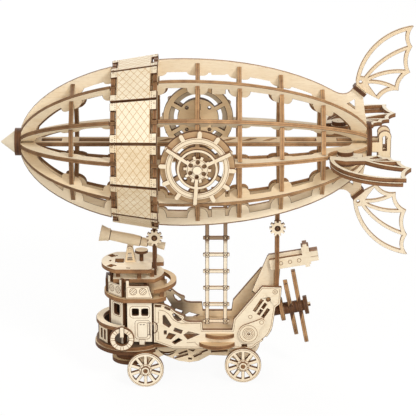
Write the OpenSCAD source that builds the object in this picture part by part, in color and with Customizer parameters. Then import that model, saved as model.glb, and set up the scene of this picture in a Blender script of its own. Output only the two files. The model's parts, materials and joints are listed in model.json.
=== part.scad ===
// Model airship of laser-cut plywood: an open envelope of rings and stringers
// over a wheeled, ship-like gondola. Nose at -X, near side at -Y, ground at z = 0.

/* [Sheet] */
// Thickness of the plywood sheet
ply = 3; // [2.7:0.1:3.3]
// Thickness of the thin sheet used for the band, hub plates and straps
thin = 2; // [1.6:0.1:2.2]
// Gap on each side of a slot or glued seat
fit = 0.05; // [0.02:0.01:0.08]
// Radial play of a turning pin in its hole
play = 0.06; // [0.02:0.01:0.1]
// Gap between the faces of a turning piece and its neighbour
face_gap = 0.2; // [0.1:0.05:0.4]
// Radius of the thick dowels: axles and propeller shaft
dowel_r = 1.5; // [1.2:0.1:1.8]
// Radius of the thin pins: knobs and telescope pivot
pin_r = 1; // [0.8:0.1:1.1]

/* [Envelope] */
// Height of the envelope axis above the ground
axis_z = 178; // [174:1:184]
// Greatest radius over the stringers
env_r = 62; // [60:0.5:64]
// Station of the greatest radius
env_x = -16.3; // [-20:0.1:-12]
// Length of the nose half ellipse
nose_len = 119; // [107:0.5:131]
// Length of the tail half ellipse
tail_len = 137; // [123:0.5:151]
// Length cut off the nose ellipse where the stringers meet the nose disc
nose_cut = 2; // [1:0.1:5]
// Length cut off the tail ellipse where the stringers meet the tail disc
tail_cut = 4.6; // [3:0.1:7]
// Station of the first ring
ring_x0 = -95.3; // [-97:0.1:-93]
// Distance between rings
ring_pitch = 29.85; // [29:0.05:30]
// Radial depth of a ring
ring_depth = 13; // [12:0.5:15]
// How far a ring's corners lie under the stringers' outer edge
ring_drop = 2.2; // [1.2:0.1:2.8]
// Depth of the half lap between ring and stringer
lap = 6.5; // [6:0.1:7]
// Depth of the eight light stringers
light_depth = 5.5; // [4.5:0.1:6]
// Depth of the keels and side stringers
deep_depth = 9.5; // [8:0.1:10.5]
// Depth of a stringer at the ears beside a ring
ear_depth = 12; // [11:0.1:12.5]
// Half length of the full-depth part of an ear
ear_flat = 3.2; // [2.6:0.1:4]
// Length of the hollow slope of an ear
ear_slope = 4.5; // [3:0.1:6]
// Length of the nose webs
nose_web_len = 10.3; // [8:0.1:14]
// Length of the tail webs
tail_web_len = 10.4; // [8:0.1:14]
// Length of the lugs on the inner edges of the keels and light stringers
lug_len = 10; // [8:0.5:12]
// Depth of the lugs
lug_depth = 10.6; // [10:0.1:11]
// Extra depth of a stringer where it runs into a web
web_gain = 8.5; // [6:0.5:9]
// Width of the long spine board on the axis
spine_w = 15.2; // [14:0.2:18]

/* [Nose and tail discs] */
// Radius of the nose disc
nose_disc_r = 10; // [9:0.5:12]
// Thickness of the two glued plies of the nose disc
nose_disc_t = 4.6; // [4:0.2:6]
// Radius of the nose cone's base
cone_r = 8.4; // [7:0.2:9]
// Length of the nose cone
cone_len = 10.3; // [8:0.1:14]
// Radius of the cone's blunt tip
cone_tip = 0.9; // [0.5:0.1:1.5]
// Radius of the tail disc
tail_disc_r = 14.4; // [13:0.2:17]
// Thickness of the tail disc
tail_disc_t = 3.6; // [3:0.2:5]
// Reach of the tail bracket under the axis
bracket_drop = 14; // [12:0.5:16]
// Height of the bracket's round top over the axis
bracket_rise = 5.6; // [4:0.1:7]

/* [Band] */
// How far the band's outer face rises over the ellipse at its two rings
band_rise = 0.3; // [0:0.1:0.8]
// How far the plates reach past the ring stations
band_over = 1.6; // [1.5:0.1:2.4]
// Width of the notch at each end of a plate
notch_w = 17; // [14:0.5:19]
// Length of the notch past the ring's inner face
notch_past = 1.2; // [0.6:0.1:2]
// The same at the bottom plate, where the front strut comes up
strut_past = 2.3; // [2.2:0.1:3]
// Gap between neighbouring plates at their inner face
band_gap = 0.4; // [0.2:0.1:0.8]
// How far the ring's teeth stay under the band's outer face
tooth_drop = 0.5; // [0.3:0.1:1]

/* [Fins] */
// Distance of the fin collars in front of the tail disc
fin_back = 6.4; // [5:0.1:8]
// Distance of the fin collars from the axis
fin_r = 37.6; // [36:0.1:40]
// Slope of the fin roots
fin_slope = 50.4; // [46:0.2:56]
// Radius of the leading edge
lead_r = 46.9; // [45.5:0.1:48]
// Width of the fin's border
fin_border = 2.8; // [2.4:0.1:4]
// Width of the fin's ribs
fin_rib = 2.4; // [1.8:0.1:3.2]
// Rise of a rib's bow over its chord
rib_bow = 0.1; // [0.04:0.01:0.14]
// Hollow of the scallops
scallop = 2.6; // [1.5:0.1:3.5]
// Half length of a collar
collar_half = 5.2; // [4.6:0.1:6]
// Width of a collar across the sheet
collar_w = 9; // [8:0.2:12]
// Width of the keel tongue through a collar
tongue_w = 5; // [4:0.1:7]
// Radius of the hole in a fin's root
fin_hole = 1.2; // [0.8:0.1:1.6]
// Distance of the side fins' pivot pins in front of the tail disc
pivot_back = 17.1; // [16:0.1:18]
// Turn of the side fins as they rest
side_turn = 7; // [0:0.5:9]
// Distance of the pivot pins from the axis
pivot_r = 38.5; // [37.5:0.1:39.5]
// Distance of a side fin's root behind its pin
side_back = 10; // [9.5:0.1:10.5]
// Distance of a side fin's root outside its pin
side_out = 1.6; // [1.2:0.1:2]
// Radius of the clearing in a side stringer round the pin
fin_clear = 12.4; // [12:0.1:13]
// Radius of the seat under the pin
seat_r = 8.5; // [7.5:0.1:9]
// Radius of the round root of a side fin
root_r = 6.2; // [5.6:0.1:6.8]
// Radius of the washer on a pivot pin
washer_r = 5.7; // [4.5:0.1:7]
// Width of the doubler under a side fin's leading edge
doubler_w = 3.2; // [2.6:0.1:4]
// Step from the leading edge in to the doubler
doubler_in = 0.3; // [0.2:0.1:0.8]
// Reach of the doubler behind the collar station
doubler_reach = 33; // [28:0.5:34]

/* [Helm wheels] */
// Distance of a back plate's inner face from the middle plane
helm_y = 60; // [59.4:0.1:60.4]
// Outer radius of a back plate
back_r = 26.4; // [25.5:0.1:27]
// Inner radius of a back plate's rim
back_in = 21.7; // [20.5:0.1:22.5]
// Radius of a back plate's inner disc
back_disc = 15.5; // [14:0.1:16.5]
// Outer radius of a wheel rim
helm_r = 22.4; // [21.5:0.1:23.5]
// Inner radius of a wheel rim
helm_in = 18.2; // [17:0.1:19]
// Reach of the handles
handle_reach = 27.2; // [26:0.1:28.4]
// Width of a handle
handle_w = 3; // [2.4:0.1:3.6]
// Number of handles
handle_n = 12; // [8:1:16]
// Tip radius of the toothed boss
boss_r = 10; // [8.5:0.1:11]
// Number of teeth of the boss
boss_teeth = 10; // [8:1:12]
// Width of the three long spokes
spoke_w = 3; // [2.4:0.1:3.6]
// Radius of a helm pin's head
helm_head = 3; // [2.6:0.1:4]
// Distance of the ring's tongues above and below the pin
tongue_z = 9; // [7.5:0.1:10]
// Height of each tongue
tongue_h = 4; // [3:0.1:5]
// Height of the pads of the ring behind the helm
pad_h = 26; // [24:0.5:28]
// Depth of those pads
pad_in = 9; // [8:0.5:11]
// Turn of the near wheel as it rests
helm_turn = 4; // [0:1:29]

/* [Struts] */
// Inner distance of the strut legs from the middle plane
leg_in = 5.2; // [4.9:0.1:5.6]
// Outer distance of the strut legs
leg_out = 8.2; // [7.6:0.1:8.4]
// Height of the front bridge's lower edge
front_arch = 106.5; // [106:0.1:109]
// Height of the rear bridge's lower edge
rear_arch = 112; // [109:0.1:114]
// How far the front strut stands in front of the third ring
front_shift = 1.9; // [0:0.1:2.2]
// How far the rear strut stands in front of the sixth ring
rear_shift = 1.5; // [0:0.1:2.2]
// Height of the front knob
front_knob_z = 107.8; // [103:0.1:110]
// Height of the rear knob
rear_knob_z = 115.2; // [112:0.1:116]
// Tip radius of a knob
knob_r = 5.9; // [5:0.1:6.2]
// Number of teeth of a knob
knob_teeth = 10; // [8:1:12]
// Depth of a knob pin in the leg's edge
pin_depth = 3; // [2:0.1:3.4]

/* [Ladder] */
// Station of the ladder's middle
ladder_x = 7.8; // [6:0.1:9]
// Distance between the middles of the rails
ladder_span = 13.4; // [12:0.1:14]
// Width of a rail
rail_w = 2.9; // [2.2:0.1:3.2]
// Width of a rung
rung_w = 2.6; // [2:0.1:3]
// Distance between rungs
rung_pitch = 13.05; // [11:0.05:13.6]
// Height of the lowest rung over the deck
rung_first = 2.7; // [2:0.1:5]
// Number of rungs
rung_n = 8; // [6:1:8]
// How far a rung reaches past the rails
rung_over = 1.6; // [0.8:0.1:2]

/* [Hull] */
// Distance of the hull sides' inner faces from the middle plane
hull_y = 18.5; // [18:0.1:20]
// Underside of the floor board
floor_z = 25; // [24:0.1:26]
// Underside of the well deck
deck_z = 32.5; // [31:0.1:34]
// Station of the front ends of the hull sides
hull_front = -38.3; // [-38.6:0.1:-37.8]
// Width of the seam between the hull and the tower
seam = 0.9; // [0.4:0.1:1.2]
// Top of the hull sides at the tower
hull_top = 61; // [58:0.1:61.5]
// Top edge of the hull sides amidships
gunwale_z = 46.5; // [45:0.1:48]
// Bottom of the ladder notch
notch_z = 40.2; // [39:0.1:42]
// Front end of the ladder notch
notch_x0 = -2.7; // [-4:0.1:-2]
// Rear end of the ladder notch
notch_x1 = 19.3; // [18:0.1:20]
// Top edge of the hull sides at the stern
stern_z = 74; // [73:0.1:76]
// Rear end of the floor board
floor_x1 = 35; // [33:0.1:36]
// Rear end of the well deck
deck_x1 = 41; // [39:0.1:42]
// Front end of the stern shelf
shelf_x0 = 36; // [34:0.1:38]
// Underside of the stern shelf
shelf_z = 58.5; // [57:0.1:60]
// Rear end of the stern shelf
shelf_x1 = 54; // [54:0.1:55]
// Radius of the round engine covers
cover_r = 7.4; // [6.5:0.1:8]
// Station of the engine covers
cover_x = 31.5; // [30:0.1:33]
// Height of the engine covers
cover_z = 37.8; // [36:0.1:39]
// Top of the upper step
step1_z = 37.2; // [36.5:0.1:38]
// Reach of the upper step
step1_out = 4.6; // [3:0.1:6]
// Top of the lower step
step2_z = 30.4; // [30:0.1:32]
// Reach of the lower step
step2_out = 8.2; // [6:0.1:9.5]
// Length of the steps
step_len = 29; // [24:0.5:30]

/* [Bow and tower] */
// Station of the middle of the round bow
bow_x = -55.3; // [-56:0.1:-54.5]
// Radius of the floor board at the bow
bow_r = 26; // [25:0.1:26.5]
// Radius of the lower bow plate
bow_low_r = 27; // [26:0.1:28]
// Underside of the bow rail
bow_rail_z = 40; // [38:0.1:42]
// Width of the bow rail
bow_rail_w = 5.6; // [5:0.1:6.5]
// Radius of the chin disc
chin_r = 13.4; // [12.6:0.1:13.8]
// Gap between the chin's flat back and the front axle
chin_gap = 1.5; // [1:0.1:3]
// Underside of the chin disc
chin_z = 9; // [8.4:0.1:11]
// Radius of the chin drum
chin_drum_r = 10.5; // [9:0.1:11]
// Front end of the tower's side panels
tower_x0 = -57.8; // [-58:0.1:-57]
// Distance of the tower's front panel from the bow's middle
tower_front = 14.5; // [14:0.1:15]
// Half width of the tower's front panel
tower_front_half = 7.6; // [6.5:0.1:8]
// Length of the tower's slanted panels
tower_diag = 13.4; // [12:0.1:13.6]
// Height of the window middles over the floor
window_h = 26; // [24:0.1:28]
// Gap under the tower's side panels beside their tabs
panel_lift = 2.4; // [1.6:0.1:3]
// Width of the tab under a side panel
panel_tab = 4.4; // [3.6:0.1:5.2]
// Rounding of the window corners
window_round = 0.9; // [0.4:0.1:1.4]
// Underside of the balcony
balcony_z = 62; // [61.6:0.1:64]
// Station of the balcony's middle
balcony_x = -48.3; // [-50:0.1:-47]
// Radius of the balcony
balcony_r = 26.7; // [26.2:0.1:27.5]
// Half width of the balcony
balcony_half = 24; // [23.6:0.1:25]
// Reach of the balcony's floor behind its middle
balcony_rear = 19.3; // [18:0.1:21]
// Start of the rear rail behind the balcony's middle
rail_start = 10.3; // [9:0.1:12]
// Distance of the rail's posts from the middle plane
rail_post_y = 19.4; // [18.6:0.1:20]
// Width of the balcony's rear rail
rail_band = 4.2; // [3.4:0.1:4.6]
// Height of the rear rail over the balcony
rail_lift = 4.5; // [3.5:0.1:6]

/* [Bridge and top deck] */
// Height of the bridge walls
wall_h = 10; // [9:0.1:11]
// Reach of the side walls in front of the balcony's middle
wall_front = 10; // [9:0.1:10.4]
// Reach of the side walls behind the balcony's middle
wall_rear = 9.9; // [9:0.1:11]
// Length of the slanted walls
wall_diag = 14.6; // [13:0.1:15]
// Width of the raised posts
post_w = 2.6; // [2:0.1:3]
// Place of the front bulkhead before the balcony's middle
bulk_front = 13.2; // [12.5:0.1:14]
// Place of the rear bulkhead behind the balcony's middle
bulk_rear = 4.3; // [3:0.1:6]
// Half width of the bulkheads
bulk_half = 13; // [12:0.1:14]
// Height of the raised posts over the walls
post_h = 4.4; // [3:0.1:4.6]
// Station of the middle of the upper decks
top_x = -53.8; // [-55:0.1:-53]
// Radius of the upper decks
top_r = 23; // [22:0.1:23.4]
// Reach of the bridge deck in front of its middle
bridge_fore = 14; // [13:0.1:14.2]
// Half width of the bridge deck
bridge_half = 16.4; // [15:0.1:18]
// Half width of the top deck
top_half = 19.5; // [18.5:0.1:20.5]
// Height of the posts under the top deck
gallery_h = 5.5; // [5:0.1:6.5]
// Half width of the hatch in the top deck
hatch_half = 4.5; // [3:0.1:6]
// Reach of the cut that lets the near strut leg stand free
bite_y = 3.6; // [2:0.1:4.4]

/* [Telescope] */
// Station of the telescope's pivot
scope_x = -55.8; // [-57:0.1:-55]
// Height of the pivot over the top deck
scope_h = 9.9; // [9.4:0.1:10.6]
// Distance of the barrel's axis over the pivot
scope_rise = 6.8; // [6.7:0.1:7.4]
// Radius of the round head of the stand and of the barrel's lug
scope_head = 2.2; // [1.8:0.1:2.3]
// Tilt of the telescope as it rests
scope_tilt = 12.4; // [6:0.1:14]
// Length from the pivot to the muzzle
scope_fore = 23.6; // [20:0.1:26]
// Length from the pivot to the eyepiece
scope_aft = 24.8; // [22:0.1:26]
// Radius of the bell
bell_r = 6.1; // [5.4:0.1:6.5]
// Radius of the barrel
barrel_r = 4.1; // [3.8:0.1:4.3]
// Radius of the middle tube
tube_r = 3.2; // [2.8:0.1:3.6]
// Radius of the draw tube
draw_r = 2.1; // [1.7:0.1:2.5]
// Radius of the eyepiece
eye_r = 2.9; // [2.5:0.1:3.2]
// Radius of the stool's seat
stool_r = 4.8; // [4:0.1:5]
// Height of the stool over the top deck
stool_h = 8.6; // [6:0.1:8.8]

/* [Life buoy] */
// Outer radius of the life buoy
buoy_r = 9.1; // [8:0.1:9.5]
// Inner radius of the life buoy
buoy_in = 5; // [4:0.1:6]
// Station of the life buoy
buoy_x = -61.3; // [-62:0.1:-60]
// Height of the life buoy's middle
buoy_z = 35.5; // [35:0.1:36.5]

/* [Stern gun] */
// Slope of the gun
gun_slope = 9.5; // [6:0.1:12]
// Station where the gun leaves the stern plate
gun_x = 47; // [45:0.1:48]
// Length of the stern plate's foot in front of that station
gun_foot = 10; // [8:0.1:11]
// Height of the gun's axis at that station
gun_z = 85.8; // [85:0.1:88]
// Length of the gun's cheeks
cheek_len = 25; // [23:0.1:27]
// Height of the cheeks
cheek_h = 8; // [7:0.1:9]
// Height of the gun's middle board
board_h = 11.4; // [10:0.1:12]
// Height of the flange
flange_h = 17.7; // [16:0.1:18.5]
// Length of the flange along the gun
flange_w = 5.6; // [5:0.1:6.4]
// Rise of the flange's middle over the gun's axis
flange_lift = 1.7; // [1:0.1:2.4]
// Length of the muzzle past the flange
muzzle_len = 6; // [4:0.1:9]
// Height of the muzzle
muzzle_h = 7.8; // [6:0.1:8.4]

/* [Propeller] */
// Slope of the propeller shaft
prop_slope = 11; // [9:0.5:12]
// Station of the rear blade on the shaft
prop_x = 69.8; // [69.5:0.1:71]
// Height of the rear blade's middle
prop_z = 51; // [50:0.1:51.5]
// Reach of the rear blades
prop_r = 28.7; // [26:0.1:29]
// Reach of the front blades
prop2_r = 28.7; // [26:0.1:29]
// Turn between the front and the rear blades
blade_turn = 27; // [20:1:90]
// Distance between the blade plates
prop_step = 6.8; // [6.4:0.1:7]
// Greatest width of a blade
blade_w = 9; // [7:0.1:11]
// Radius of the hub spacers
hub_r = 5; // [4.2:0.1:5.6]
// Radius of the front disc
prop_disc_r = 8.8; // [8:0.1:10]
// Radius of the nut at the shaft's end
nut_r = 7; // [5.5:0.1:7.5]
// Length of the spacer under the nut
nut_lift = 1.6; // [1:0.1:2.4]
// Length of shaft in front of the bearing board
shaft_in = 8; // [6:0.1:10]

/* [Wheels] */
// Radius of the wheels
wheel_r = 13.4; // [12.8:0.1:14]
// Width of a wheel's rim
wheel_rim = 2.8; // [2.2:0.1:3.2]
// Radius of a wheel's hub
wheel_hub = 5; // [4.2:0.1:5.4]
// Number of spokes
wheel_spokes = 10; // [8:1:12]
// Width of a spoke
wheel_spoke_w = 2.4; // [1.8:0.1:2.6]
// Radius of a hub cap
cap_r = 3; // [2.4:0.1:3.6]
// Station of the front axle
front_axle_x = -44.1; // [-45:0.1:-43]
// Station of the rear axle
rear_axle_x = 27.5; // [26.5:0.1:28.5]
// Distance of the front wheels' inner faces from the middle plane
front_wheel_y = 31; // [29:0.1:32]
// Distance of the rear wheels' inner faces from the middle plane
rear_wheel_y = 22.5; // [22:0.1:24]
// Distance of the chassis plates' inner faces from the middle plane
chassis_y = 11.5; // [10:0.1:13]

/* [Hidden] */
$fn = 48;

face = "#ecd9b8";
warm = "#e2c79c";
edge = "#a8763f";
dark = "#7b512c";

far = 400;
pitch_a = 30;
ring_n = 7;
axle_z = wheel_r;
bore_r = dowel_r + play;
nose_face = env_x - nose_len + nose_cut;
tail_face = env_x + tail_len - tail_cut;
nose_web = nose_face + nose_web_len;
tail_web = tail_face - tail_web_len;
fin_x = tail_face - fin_back;
pivot_x = tail_face - pivot_back;
function ring_at(k) = ring_x0 + ring_pitch * k;
function env(x) = let (u = x < env_x ? (env_x - x) / nose_len : (x - env_x) / tail_len)
  env_r * sqrt(max(0, 1 - u * u));
band_r1 = env(ring_at(1)) + band_rise;
band_r2 = env(ring_at(2)) + band_rise;
band_x0 = ring_at(1) - band_over;
band_x1 = ring_at(2) + band_over;
band_tilt = atan((band_r2 - band_r1) / ring_pitch);
function band_top(x) = band_r1 + (x - ring_at(1)) * tan(band_tilt);
function band_under(x) = band_top(x) - thin / cos(band_tilt);
function in_band(k) = k == 1 || k == 2;
function ring_ref(k) = in_band(k) ? band_under(ring_at(k)) : env(ring_at(k));
function split(k) = ring_ref(k) - lap;
web_r = ply / (2 * tan(pitch_a / 2)) + 0.8;
function ramp(s) = let (t = min(1, max(0, s))) t * t;
function ear(d) = d < ear_flat ? 1 : d > ear_flat + ear_slope ? 0
  : let (s = (d - ear_flat) / ear_slope) sqrt(max(0, 1 - s * s));
function depth_at(x, depth) = depth + web_gain * (ramp((ring_at(0) - x) / (ring_at(0) - nose_web))
    + ramp((x - ring_at(ring_n - 1)) / (tail_web - ring_at(ring_n - 1))))
  + (ear_depth - depth) * max([for (k = [0 : ring_n - 1]) ear(abs(x - ring_at(k)))]);
function bez(a, b, c, n = 8) = [for (i = [0 : n]) let (t = i / n)
  a * (1 - t) * (1 - t) + b * (2 * t * (1 - t)) + c * t * t];

// Plates from flat outlines: drawn in x and z, in y and z, or in x and y
module plate_xz(y = 0, t = ply) translate([0, y + t / 2, 0]) rotate([90, 0, 0]) linear_extrude(t) children();
module plate_yz(x = 0, t = ply) translate([x - t / 2, 0, 0]) rotate([90, 0, 90]) linear_extrude(t) children();
module plate_xy(z = 0, t = ply) translate([0, 0, z]) linear_extrude(t) children();
module both_sides() { children(); mirror([0, 1, 0]) children(); }
module at_axis(turn = 0) translate([0, 0, axis_z]) rotate([turn, 0, 0]) children();
module bar(p, l, w, a) translate(p) rotate(a) square([l, w], center = true);

// Envelope
nose_a = acos((env_x - nose_face) / nose_len);
tail_a = acos((tail_face - env_x) / tail_len);
outer_pts = concat(
  [for (i = [0 : 16]) let (a = nose_a + (90 - nose_a) * i / 16) [env_x - nose_len * cos(a), env_r * sin(a)]],
  [for (i = [15 : -1 : 0]) let (a = tail_a + (90 - tail_a) * i / 16) [env_x + tail_len * cos(a), env_r * sin(a)]]);
ear_steps = [1, 0.96, 0.82, 0.55, 0.25, 0];
function ear_xs(k) = concat([for (s = ear_steps) ring_at(k) - ear_flat - ear_slope * s],
  [for (i = [len(ear_steps) - 1 : -1 : 0]) ring_at(k) + ear_flat + ear_slope * ear_steps[i]],
  k < ring_n - 1 ? [ring_at(k) + ring_pitch / 2] : []);
nose_xs = [for (i = [0 : 5]) nose_web + 2 + (ring_at(0) - ear_flat - ear_slope - nose_web - 4) * i / 5];
tail_xs = [for (i = [0 : 4]) let (a = ring_at(ring_n - 1) + ear_flat + ear_slope + 2)
  a + (tail_web - 2 - a) * i / 4];
inner_xs = concat(nose_xs, [for (k = [0 : ring_n - 1]) each ear_xs(k)], tail_xs);

module stringer_shape(depth, foot) {
  edge_pts = [for (x = inner_xs) [x, max(foot, env(x) - depth_at(x, depth))]];
  low = concat([[nose_face, foot], [nose_web, foot]], edge_pts, [[tail_web, foot], [tail_face, foot]]);
  polygon(concat(outer_pts, [for (i = [len(low) - 1 : -1 : 0]) low[i]]));
  lug_x = ring_at(3) + ring_pitch / 2;
  if (depth < deep_depth || foot == web_r) translate([lug_x - lug_len / 2, env(lug_x) - lug_depth])
    square([lug_len, lug_depth - 2]);
}
module stringer_cuts() {
  for (k = [0 : ring_n - 1])
    translate([ring_at(k) - ply / 2 - fit, 0]) square([ply + 2 * fit, split(k)]);
  x0 = band_x0 - 0.5;
  x1 = band_x1 + 0.5;
  polygon([[x0, band_under(x0) - fit], [x1, band_under(x1) - fit], [x1, far], [x0, far]]);
}
module stringer(turn, depth, foot = web_r) at_axis(turn) plate_xz()
  difference() {
    stringer_shape(depth, foot);
    stringer_cuts();
  }

// Fin root: the web that rises from a stringer to a collar
root_u = [cos(fin_slope), sin(fin_slope)];
root_n = [-sin(fin_slope), cos(fin_slope)];
collar_c = [fin_x, fin_r];
flare_x = fin_x - 18;
module flare() {
  left = collar_c + root_n * (collar_half - 0.6);
  right = collar_c - root_n * (collar_half - 0.6);
  tail = [tail_face, env(tail_face)];
  polygon(concat(bez([flare_x, env(flare_x)], [fin_x - 8, fin_r - 5], left),
    bez(right, [tail_face - 2, fin_r - 12], tail), [[tail_face - 4, web_r + 2], [flare_x, env(flare_x) - 4]]));
}
module tongue() translate(collar_c) rotate(fin_slope) translate([-1, -tongue_w / 2]) square([ply + 1, tongue_w]);
module keel(turn) at_axis(turn) plate_xz()
  difference() {
    union() {
      difference() {
        union() {
          stringer_shape(deep_depth, web_r);
          flare();
        }
        translate(collar_c) polygon([[-8.2, -8.6], [-2.4, -5.2], [-2, -13]]);
      }
      tongue();
    }
    stringer_cuts();
  }
module top_keel() color(face) keel(0);
module bottom_keel() color(face) keel(180);
module stringer_pair(turn) color(face) { stringer(turn, light_depth); stringer(-turn, light_depth); }
module shoulder_stringers() stringer_pair(pitch_a);
module upper_stringers() stringer_pair(2 * pitch_a);
module lower_stringers() stringer_pair(4 * pitch_a);
module belly_stringers() stringer_pair(5 * pitch_a);

// Side stringers: cut away behind the helm wheels and round the side fins' pins
side_foot = spine_w / 2 + fit;
module side_stringer(turn) at_axis(turn) plate_xz()
  difference() {
    union() {
      stringer_shape(deep_depth, side_foot);
      hull() {
        translate([pivot_x - 11, pivot_r - 13]) circle(4.5);
        translate([pivot_x + 6, pivot_r - 19.5]) circle(4.5);
      }
    }
    stringer_cuts();
    translate([pivot_x, pivot_r]) circle(fin_clear);
    translate([ring_at(2) + ply / 2 + 2, 0]) square([2 * ring_pitch - ply - 4, far]);
  }
module side_stringers() color(face) { side_stringer(90); side_stringer(-90); }

module ring_outer(k) {
  x = ring_at(k) - ply / 2;
  if (in_band(k)) {
    rotate(pitch_a / 2) circle((band_under(x) - fit) / cos(pitch_a / 2), $fn = 12);
    intersection() {
      for (i = [0 : 11]) rotate(i * pitch_a) translate([-notch_w / 2 + 0.2, 0]) square([notch_w - 0.4, far]);
      rotate(pitch_a / 2) circle((band_top(x) - tooth_drop) / cos(pitch_a / 2), $fn = 12);
    }
  } else circle(env(ring_at(k)) - ring_drop, $fn = 12);
}
module ring_shape(k) difference() {
  ring_outer(k);
  circle(ring_ref(k) - ring_depth, $fn = 96);
  for (i = [0 : 11]) if (k != 3 || i % 6 != 3) rotate(i * pitch_a)
    translate([-ply / 2 - fit, split(k) - 2 * fit]) square([ply + 2 * fit, far]);
}
module ring(k) color(edge) plate_yz(ring_at(k)) translate([0, axis_z]) ring_shape(k);
module ring_1() ring(0);
module ring_2() ring(1);
module ring_3() ring(2);
// The middle ring is cut flat at both sides and carries the helm plates on tongues
module ring_4() color(edge) plate_yz(ring_at(3)) translate([0, axis_z]) {
  difference() {
    union() {
      ring_shape(3);
      for (s = [-1, 1]) translate([s * (helm_y - pad_in / 2), 0]) square([pad_in, pad_h], center = true);
    }
    for (s = [-1, 1]) translate([s * (helm_y - fit + far / 2), 0]) square([far, far], center = true);
  }
  for (s = [-1, 1]) for (t = [-1, 1])
    translate([s * (helm_y - 1 + (ply + 1) / 2), t * tongue_z]) square([ply + 1, tongue_h], center = true);
}
module ring_5() ring(4);
module ring_6() ring(5);
module ring_7() ring(6);

module nose_disc() color(dark) at_axis() translate([nose_face - nose_disc_t, 0, 0])
  rotate([0, 90, 0]) cylinder(r = nose_disc_r, h = nose_disc_t);
module nose_cone() color(face) at_axis() translate([nose_face - nose_disc_t, 0, 0]) rotate([0, -90, 0])
  rotate_extrude() polygon(concat([[0, 0], [cone_r, 0]],
    [for (i = [0 : 6]) let (a = 35 + 55 * i / 6) [cone_tip * cos(a), cone_len - cone_tip + cone_tip * sin(a)]]));
module tail_disc() color(dark) at_axis() translate([tail_face, 0, 0])
  rotate([0, 90, 0]) cylinder(r = tail_disc_r, h = tail_disc_t);

// Spine board: long slots at both ends, slanted braces in the middle
module spine() color(warm) plate_xy(axis_z - ply / 2) difference() {
  translate([nose_face, -spine_w / 2]) square([tail_face - nose_face, spine_w]);
  for (k = [0 : ring_n - 2]) translate([ring_at(k) + ring_pitch / 2, 0])
    if (k == 0 || k == ring_n - 2) square([ring_pitch - 8, spine_w - 8], center = true);
    else for (s = [-1, 1]) translate([s * ring_pitch / 4, 0])
      polygon([[-5, -3], [-1, -3], [5, 3], [1, 3]]);
  for (x = [nose_face + 22, tail_face - 14]) translate([x, 0]) square([14, spine_w - 9], center = true);
}

// Band of twelve flat plates, each with a notch at both ends over a ring's tooth
module band_plate(past) {
  function half(x) = band_under(x) * tan(pitch_a / 2) - band_gap / 2;
  run = (band_x1 - band_x0) / cos(band_tilt);
  n0 = (ring_at(1) + ply / 2 + notch_past - band_x0) / cos(band_tilt);
  n1 = (band_x1 - ring_at(2) + ply / 2 + past) / cos(band_tilt);
  translate([band_x0, 0, band_under(band_x0)]) rotate([0, -band_tilt, 0]) linear_extrude(thin) difference() {
    polygon([[0, -half(band_x0)], [run, -half(band_x1)], [run, half(band_x1)], [0, half(band_x0)]]);
    translate([-1, -notch_w / 2]) square([n0 + 1, notch_w]);
    translate([run - n1, -notch_w / 2]) square([n1 + 1, notch_w]);
  }
}
module band_plates() color(face) for (i = [0 : 11]) at_axis(i * pitch_a)
  band_plate(i == 6 ? strut_past : notch_past);

// Bat-wing fin, drawn from the collar: leading arc, scalloped trailing edge, three ribs
lead_c = [44.6, 2.2];
fin_tips = [[38.5, 48.4], [38, 33.4], [37, 14.4], [29, 0.9], [15, -5.6]];
fin_hub = [3, 7];
function turn_to(p) = atan2(p[1] - fin_hub[1], p[0] - fin_hub[0]);
module scallops(grow, tips = fin_tips) for (i = [0 : len(tips) - 2]) {
  a = tips[i];
  b = tips[i + 1];
  c = norm(b - a);
  r = (c * c / 4 + scallop * scallop) / (2 * scallop);
  out = [-(b - a)[1], (b - a)[0]] / c;
  translate((a + b) / 2 + out * (r - scallop)) circle(r + grow);
}
root_left = root_u * (ply + fit) + root_n * (collar_half - 0.8);
root_right = root_u * (ply + fit) - root_n * (collar_half - 0.8);
module fin_blank(grow, lead = lead_c, corners = [], tips = fin_tips) difference() {
  intersection() {
    polygon(concat([root_left], corners, [[-10, 52]], tips, [root_right]));
    translate(lead) circle(lead_r - grow, $fn = 96);
  }
  scallops(grow, tips);
}
// A rib bows up from the root to a tip of the trailing edge
module fin_arc(tip, w) {
  c = norm(tip - fin_hub);
  rise = c * rib_bow;
  r = (c * c / 4 + rise * rise) / (2 * rise);
  out = [-(tip - fin_hub)[1], (tip - fin_hub)[0]] / c;
  mid = (tip + fin_hub) / 2;
  intersection() {
    translate(mid - out * (r - rise)) difference() {
      circle(r + w / 2, $fn = 96);
      circle(r - w / 2, $fn = 96);
    }
    translate(mid) rotate(turn_to(tip)) translate([-far / 2, -w / 2]) square([far, far]);
  }
}
module fin_shape(root, lead = lead_c, corners = [], tips = fin_tips) {
  difference() {
    fin_blank(0, lead, corners, tips);
    fin_blank(fin_border, lead, corners, tips);
  }
  intersection() {
    fin_blank(0, lead, corners, tips);
    union() {
      for (i = [1 : 3]) fin_arc(tips[i], fin_rib);
      polygon(concat([root_left], root, [fin_hub + [2, 4], fin_hub + [5, -3], tips[4], root_right]));
    }
  }
}
module tall_fin(turn) color(face) at_axis(turn) plate_xz() translate(collar_c) difference() {
  fin_shape([[-3, 12]]);
  translate([1.6, 7.4]) circle(fin_hole);
}
module top_fin() tall_fin(0);
module bottom_fin() tall_fin(180);
module fin_collar(turn) at_axis(turn) translate([fin_x, 0, fin_r]) rotate([0, -fin_slope, 0])
  rotate([0, 90, 0]) linear_extrude(ply) difference() {
    square([2 * collar_half, collar_w], center = true);
    square([tongue_w + 2 * fit, ply + 2 * fit], center = true);
  }
module fin_collars() color(dark) { fin_collar(0); fin_collar(180); }

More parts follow.
